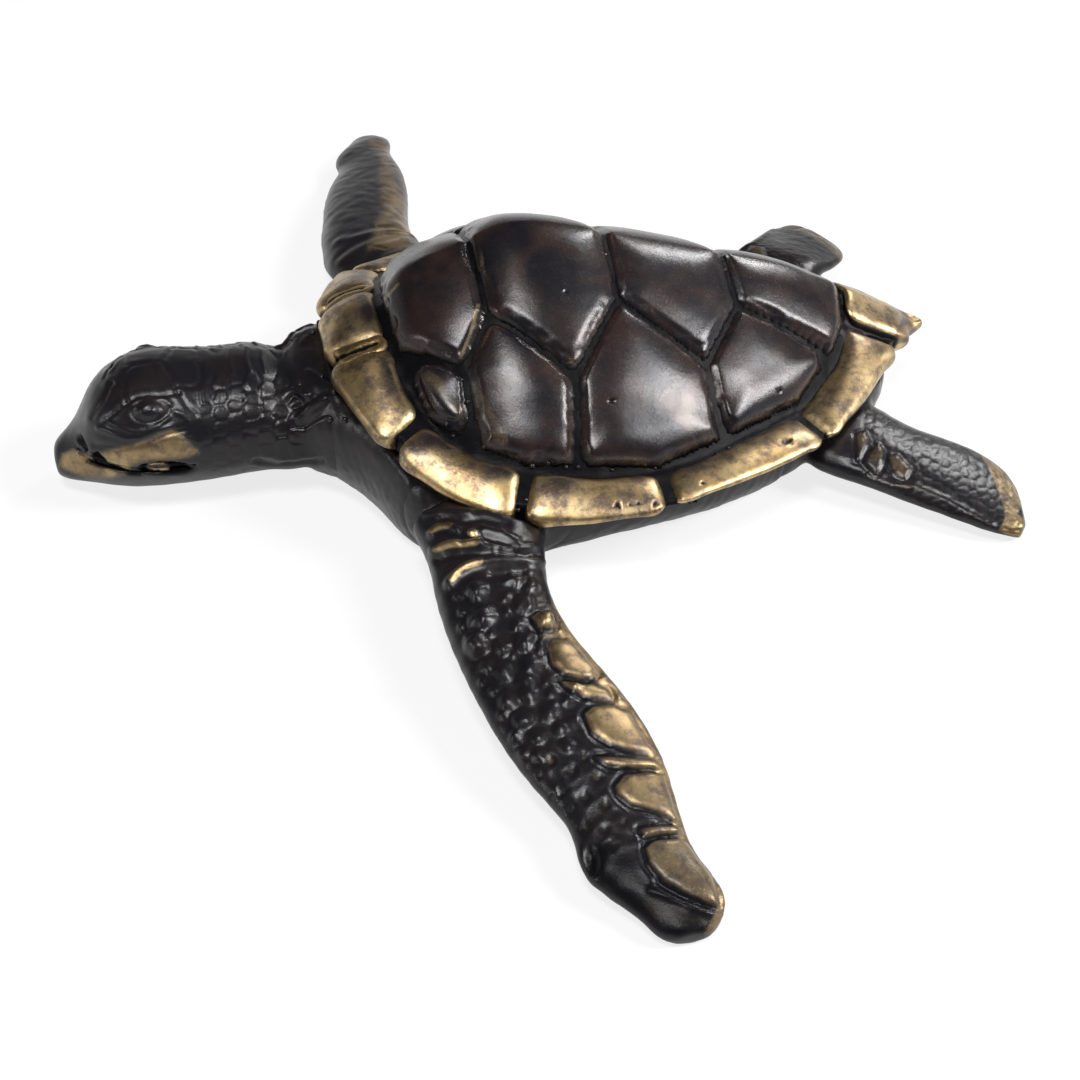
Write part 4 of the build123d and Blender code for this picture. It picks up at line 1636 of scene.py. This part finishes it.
    def gold(self, pixels: np.ndarray) -> np.ndarray:
        """Where the flipper is rubbed to brass.

        Args:
            pixels: Where the points fall in the picture.

        Returns:
            How far each point is rubbed, 1 for bare brass.
        """
        behind = line_gap(pixels, self.trailing)
        dim = 1.0 - 0.42 * ease(pixels[:, 1], 700.0, 880.0)
        worn = 0.58 * ease(behind, 8.0, 2.0) + 0.24 * ease(behind, 42.0, 12.0)
        for outline in self.scales:
            gap = ring_gap(pixels, outline)
            worn = np.maximum(worn, 0.74 * ease(gap, 3.0, -3.0))
            worn = np.maximum(worn, 0.44 * hump(gap, 3.2, 8.0) * ease(behind, 36.0, 12.0))
        for across, down, size in self.diamonds:
            gap = np.hypot(pixels[:, 0] - across, pixels[:, 1] - down) / size
            worn = np.maximum(worn, 0.33 * ease(gap, 0.8, 0.2))
        worn = np.maximum(worn, 0.45 * ease(ring_gap(pixels, self.tip_gold), 6.0, -8.0))
        return np.maximum(worn * dim, shoulder_gold(pixels))

    def dark_patina_and_shade(self, pixels: np.ndarray) -> np.ndarray:
        """Where the flipper is darkened: patina with painted shade, and painted shade on the tip.

        Args:
            pixels: Where the points fall in the picture.

        Returns:
            How dark each point is.
        """
        dark = 0.8 * ease(oval_gap(pixels, *self.notch), 1.1, 0.5)
        # Painted shade over the leading part of the tip.
        dark = np.maximum(dark, 0.75 * ease(line_gap(pixels, self.tip_shade), 26.0, 12.0))
        behind = ease(line_gap(pixels, self.trailing), 2.0, 7.0)
        for outline in self.scales:
            dark = np.maximum(dark, 0.8 * hump(ring_gap(pixels, outline), 1.7, 3.2) * behind)
        return dark


@dataclass
class RearFlipper:
    """A rear flipper: fine flat scales and a rubbed, lined rear edge."""

    side: Side
    paints: Paintbox
    skin: float = 0.32
    near_gold: float = 0.54
    far_gold: float = 0.36
    frame: LimbFrame = LimbFrame(root=(34.0, 24.0), left_heading=46.0, right_heading=39.0,
                                 left_chord=22.0, right_chord=22.0, reach=37.2, right_lift=2.0)
    edge: tuple = (
        (978, 451), (991, 453), (1005, 464), (1018, 482), (1024, 498), (1018, 514), (1026, 521),
        (1020, 538), (1010, 537), (999, 530), (1005, 519), (1003, 505), (996, 486), (991, 472),
    )
    toes: tuple = (
        ((982, 452), (993, 460), (1003, 472), (1009, 486)),
        ((990, 455), (1003, 468), (1013, 483), (1018, 494)),
        ((1006, 489), (1012, 497), (1019, 500)), ((1007, 508), (1013, 511), (1019, 512)),
        ((1004, 528), (1012, 531), (1020, 530)),
    )
    far_pulls: tuple = (
        ((745, 248), (742, 237)), ((790, 227), (780, 228)), ((825, 240), (822, 238)),
        ((840, 258), (842, 259)), ((838, 275), (830, 265)), ((820, 288), (815, 270)),
        ((800, 292), (798, 275)), ((770, 262), (770, 256)), ((720, 262), (716, 250)),
    )
    ridge: tuple = ((868, 478), (890, 486), (915, 487), (951, 503), (991, 526))
    wedges: tuple = (
        ((857, 434), (866, 432), (869, 440), (861, 455), (857, 461)),
        ((864, 463), (871, 452), (878, 444), (884, 451), (882, 464), (876, 475)),
        ((887, 457), (897, 455), (911, 469), (905, 480), (895, 474)),
    )

    def build(self) -> None:
        """Model the flipper."""
        flipper = Casting(f"rear_{self.side.name.lower()}_flipper", self.skin,
                          self.frame.near(self.side), "body")
        flipper.soften(4)
        pixels, facing = flipper.look()
        top = ease(facing, 0.05, 0.35) * ease(flipper.normals[:, 2], -0.1, 0.2)
        middles = scattered((860, 405), (1030, 545), (9.5, 9.0), 0.3, 61)
        first, second, _ = cells(pixels, middles)
        lift = 0.06 * ease(second - first, 0.0, 4.5)
        ridge = line_gap(pixels, self.ridge)
        lift += 0.35 * hump(ridge, 4.5)
        for line in self.toes:
            lift -= 0.22 * hump(line_gap(pixels, line), 1.4)
        for outline in self.wedges:
            gap = ring_gap(pixels, outline)
            lift += 0.38 * ease(gap, 2.5, -4.0) - 0.10 * hump(gap, 2.0, 3.0)
        flipper.push(lift * top + 0.03 * waves(flipper.points, 3.0, 20, 62))
        if self.side is Side.RIGHT:
            self.trim(flipper)
        gold = self.near_gold if self.side is Side.LEFT else self.far_gold
        worn = gold * ease(ring_gap(pixels, self.edge), 2.5, -1.5)
        for outline in self.wedges:
            worn = np.maximum(worn, 0.30 * ease(ring_gap(pixels, outline), 2.0, -2.0))
        worn = np.maximum(worn, 0.26 * hump(ridge, 2.5))
        flipper.mark("worn", worn * ease(flipper.normals[:, 2], -0.6, -0.2))
        flipper.finish(Slot.SKIN, self.paints)

    def trim(self, flipper: Casting) -> None:
        """Draw the far flipper's end in to a point at its rear corner.

        Args:
            flipper: The flipper's casting.
        """
        out, _ = self.frame.local(flipper.points, self.side)
        flipper.points = pulled(flipper.points, self.far_pulls, ease(out, 6.0, 16.0))
        flipper.write()
        flipper.soften(6, 1.0 - ease(out, 14.0, 22.0))


@dataclass
class Tail:
    """The short tail under the hind edge of the shell."""

    paints: Paintbox
    skin: float = 0.34
    shorter_from: float = 46.0
    shorter: float = 0.3

    def build(self) -> None:
        """Model the tail."""
        tail = Casting("tail", self.skin, ground="body")
        tail.soften(4)
        tail.push(0.04 * waves(tail.points, 3.0, 20, 65))
        tail.points[:, 0] -= self.shorter * np.maximum(tail.points[:, 0] - self.shorter_from, 0.0)
        tail.points = pulled(tail.points, TIP.pulls, TIP.part(tail.points))
        tail.write()
        tail.mark("worn", 0.35 * ease(tail.points[:, 0], 50.0, 55.0))
        tail.finish(Slot.SKIN, self.paints)


@dataclass
class Beads:
    """Small beads of metal left in the grooves by the casting."""

    paints: Paintbox
    beads: tuple = (
        (468, 402, 0.50), (484, 426, 0.42), (453, 436, 0.38), (484, 447, 0.42), (532, 466, 0.55),
        (548, 463, 0.45), (566, 467, 0.42), (578, 467, 0.42), (518, 510, 0.45), (585, 333, 0.40),
        (605, 255, 0.42), (606, 268, 0.45), (725, 270, 0.42), (752, 300, 0.50), (757, 308, 0.50),
        (300, 385, 0.42), (322, 377, 0.50), (334, 392, 0.62), (330, 419, 0.62), (345, 420, 0.60),
        (472, 534, 0.75), (526, 500, 0.40), (420, 440, 0.40), (408, 420, 0.38), (612, 470, 0.36),
        (655, 468, 0.36), (717, 455, 0.50), (728, 448, 0.42), (462, 380, 0.40), (559, 345, 0.36),
    )

    def build(self, grounds: Sequence[str]) -> None:
        """Set a bead wherever one is seen, and its mirror image on the other side.

        Args:
            grounds: The pieces that a bead may sit on.
        """
        places = []
        right, up, forward = VIEW.axes()
        middle = VIEW.picture / 2
        trees = [tree_of(bpy.data.objects[name]) for name in grounds]
        for across, down, size in self.beads:
            ray = (forward + right * (across - middle) / VIEW.focal
                   - up * (down - middle) / VIEW.focal)
            hits = [tree.ray_cast(Vector(VIEW.place), Vector(ray).normalized()) for tree in trees]
            hits = [hit for hit in hits if hit[0] is not None]
            if hits:
                place = min(hits, key=lambda hit: hit[3])[0]
                places += [(place, size), (Vector((place.x, -place.y, place.z)), size)]
        bpy.ops.object.select_all(action="DESELECT")
        made = []
        for place, size in places:
            bpy.ops.mesh.primitive_uv_sphere_add(segments=16, ring_count=10, radius=size * MM,
                                                 location=place * MM)
            made.append(bpy.context.active_object)
        for bead in made:
            bead.select_set(True)
        bpy.context.view_layer.objects.active = made[0]
        bpy.ops.object.join()
        bpy.ops.object.transform_apply(location=True, rotation=True, scale=True)
        piece = bpy.context.active_object
        piece.name = "casting_beads"
        piece.data.shade_smooth()
        self.paints.dress(piece, Slot.PLATE)
        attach(piece, "root")
        log.info("casting_beads: %d beads", len(made))


# The studio


@dataclass
class Studio:
    """Floor, lamps and the pale surroundings."""

    floor_half: float = 3.0
    paper: Colour = (0.88, 0.88, 0.88, 1)
    white_to_camera: float = 0.8
    white_to_mirrors: float = 0.42
    backdrop_heights: tuple = (0.12, 0.40)
    backdrop_strengths: tuple = (0.50, 0.05)
    lamps: tuple = (
        ("right_softbox", 110.0, 42.0, 0.95, (0.22, 0.22), 6.5),
        ("overhead_softbox", -150.0, 70.0, 0.90, (0.24, 0.20), 5.2),
        ("window", 104.0, 28.0, 1.05, (0.14, 0.14), 4.0),
        ("back_strip", 50.0, 35.0, 1.00, (0.08, 0.24), 3.0),
        ("left_softbox", -100.0, 22.0, 1.10, (0.20, 0.16), 1.4),
    )

    def build(self) -> None:
        """Set everything up."""
        VIEW.set_up()
        self.floor()
        self.world()
        for lamp in self.lamps:
            self.lamp(*lamp)
        bpy.context.scene.view_settings.view_transform = "Standard"

    def floor(self) -> None:
        """A pale floor, white to the camera and to reflections, that keeps the shadow."""
        bpy.ops.object.select_all(action="DESELECT")
        bpy.ops.mesh.primitive_plane_add(size=2.0 * self.floor_half)
        plane = bpy.context.active_object
        plane.name = "studio_floor"
        material = bpy.data.materials.new("studio_floor")
        material.use_nodes = True
        bench = Bench(material.node_tree)
        path = bench.add("ShaderNodeLightPath")
        seen = bench.math("MAXIMUM", path.outputs["Is Camera Ray"], bench.math(
            "MAXIMUM", path.outputs["Is Glossy Ray"], path.outputs["Is Transmission Ray"]))
        paper = bench.add("ShaderNodeBsdfDiffuse", {"Color": self.paper})
        glow = bench.add("ShaderNodeEmission", {"Color": (1, 1, 1, 1), "Strength": 1.0})
        share = bench.math(
            "MAXIMUM", bench.math("MULTIPLY", path.outputs["Is Camera Ray"], self.white_to_camera),
            bench.math("MULTIPLY", seen, self.white_to_mirrors))
        mixed = bench.add("ShaderNodeMixShader", {0: share, 1: paper.outputs[0],
                                                  2: glow.outputs[0]})
        bench.add("ShaderNodeOutputMaterial", {"Surface": mixed.outputs[0]})
        plane.data.materials.append(material)

    def world(self) -> None:
        """Surroundings: white low down, as a paper backdrop, and grey above it."""
        world = bpy.data.worlds.new("studio")
        bpy.context.scene.world = world
        world.use_nodes = True
        bench = Bench(world.node_tree)
        heading = bench.add("ShaderNodeTexCoord").outputs["Generated"]
        height = bench.add("ShaderNodeSeparateXYZ", {0: heading}).outputs["Z"]
        paper = bench.step(height, *self.backdrop_heights, *self.backdrop_strengths)
        path = bench.add("ShaderNodeLightPath")
        strength = bench.math("MAXIMUM", paper, path.outputs["Is Camera Ray"])
        back = bench.add("ShaderNodeBackground", {"Color": (1, 1, 1, 1), "Strength": strength})
        bench.add("ShaderNodeOutputWorld", {"Surface": back.outputs[0]})

    def lamp(self, name: str, heading: float, height: float, away: float, size: Pixel,
             power: float) -> None:
        """A soft lamp aimed at the middle of the shell.

        Args:
            name: Its name.
            heading: Degrees round from straight behind the figurine towards its tail.
            height: Degrees above the floor.
            away: Its distance in metres.
            size: Its width and height in metres.
            power: Its power in watts.
        """
        turn, rise = math.radians(heading), math.radians(height)
        place = away * Vector((math.sin(turn) * math.cos(rise), math.cos(turn) * math.cos(rise),
                               math.sin(rise)))
        data = bpy.data.lights.new(name, "AREA")
        data.shape = "RECTANGLE"
        data.size, data.size_y = size
        data.energy = power
        lamp = bpy.data.objects.new(name, data)
        lamp.location = place
        lamp.rotation_euler = (-place).to_track_quat("-Z", "Y").to_euler()
        bpy.context.scene.collection.objects.link(lamp)


def main() -> None:
    """Build the figurine and the studio around it."""
    logging.basicConfig(level=logging.INFO, format="%(message)s")
    paints = Paintbox()
    Studio().build()
    Shell(paints).build()
    Trunk(paints).build()
    Head(paints).build()
    for side in Side:
        FrontFlipper(side, paints).build()
        RearFlipper(side, paints).build()
    Tail(paints).build()
    Beads(paints).build(("carapace_cast", "body_cast", "head_and_neck_cast"))


if __name__ == "__main__":
    main()
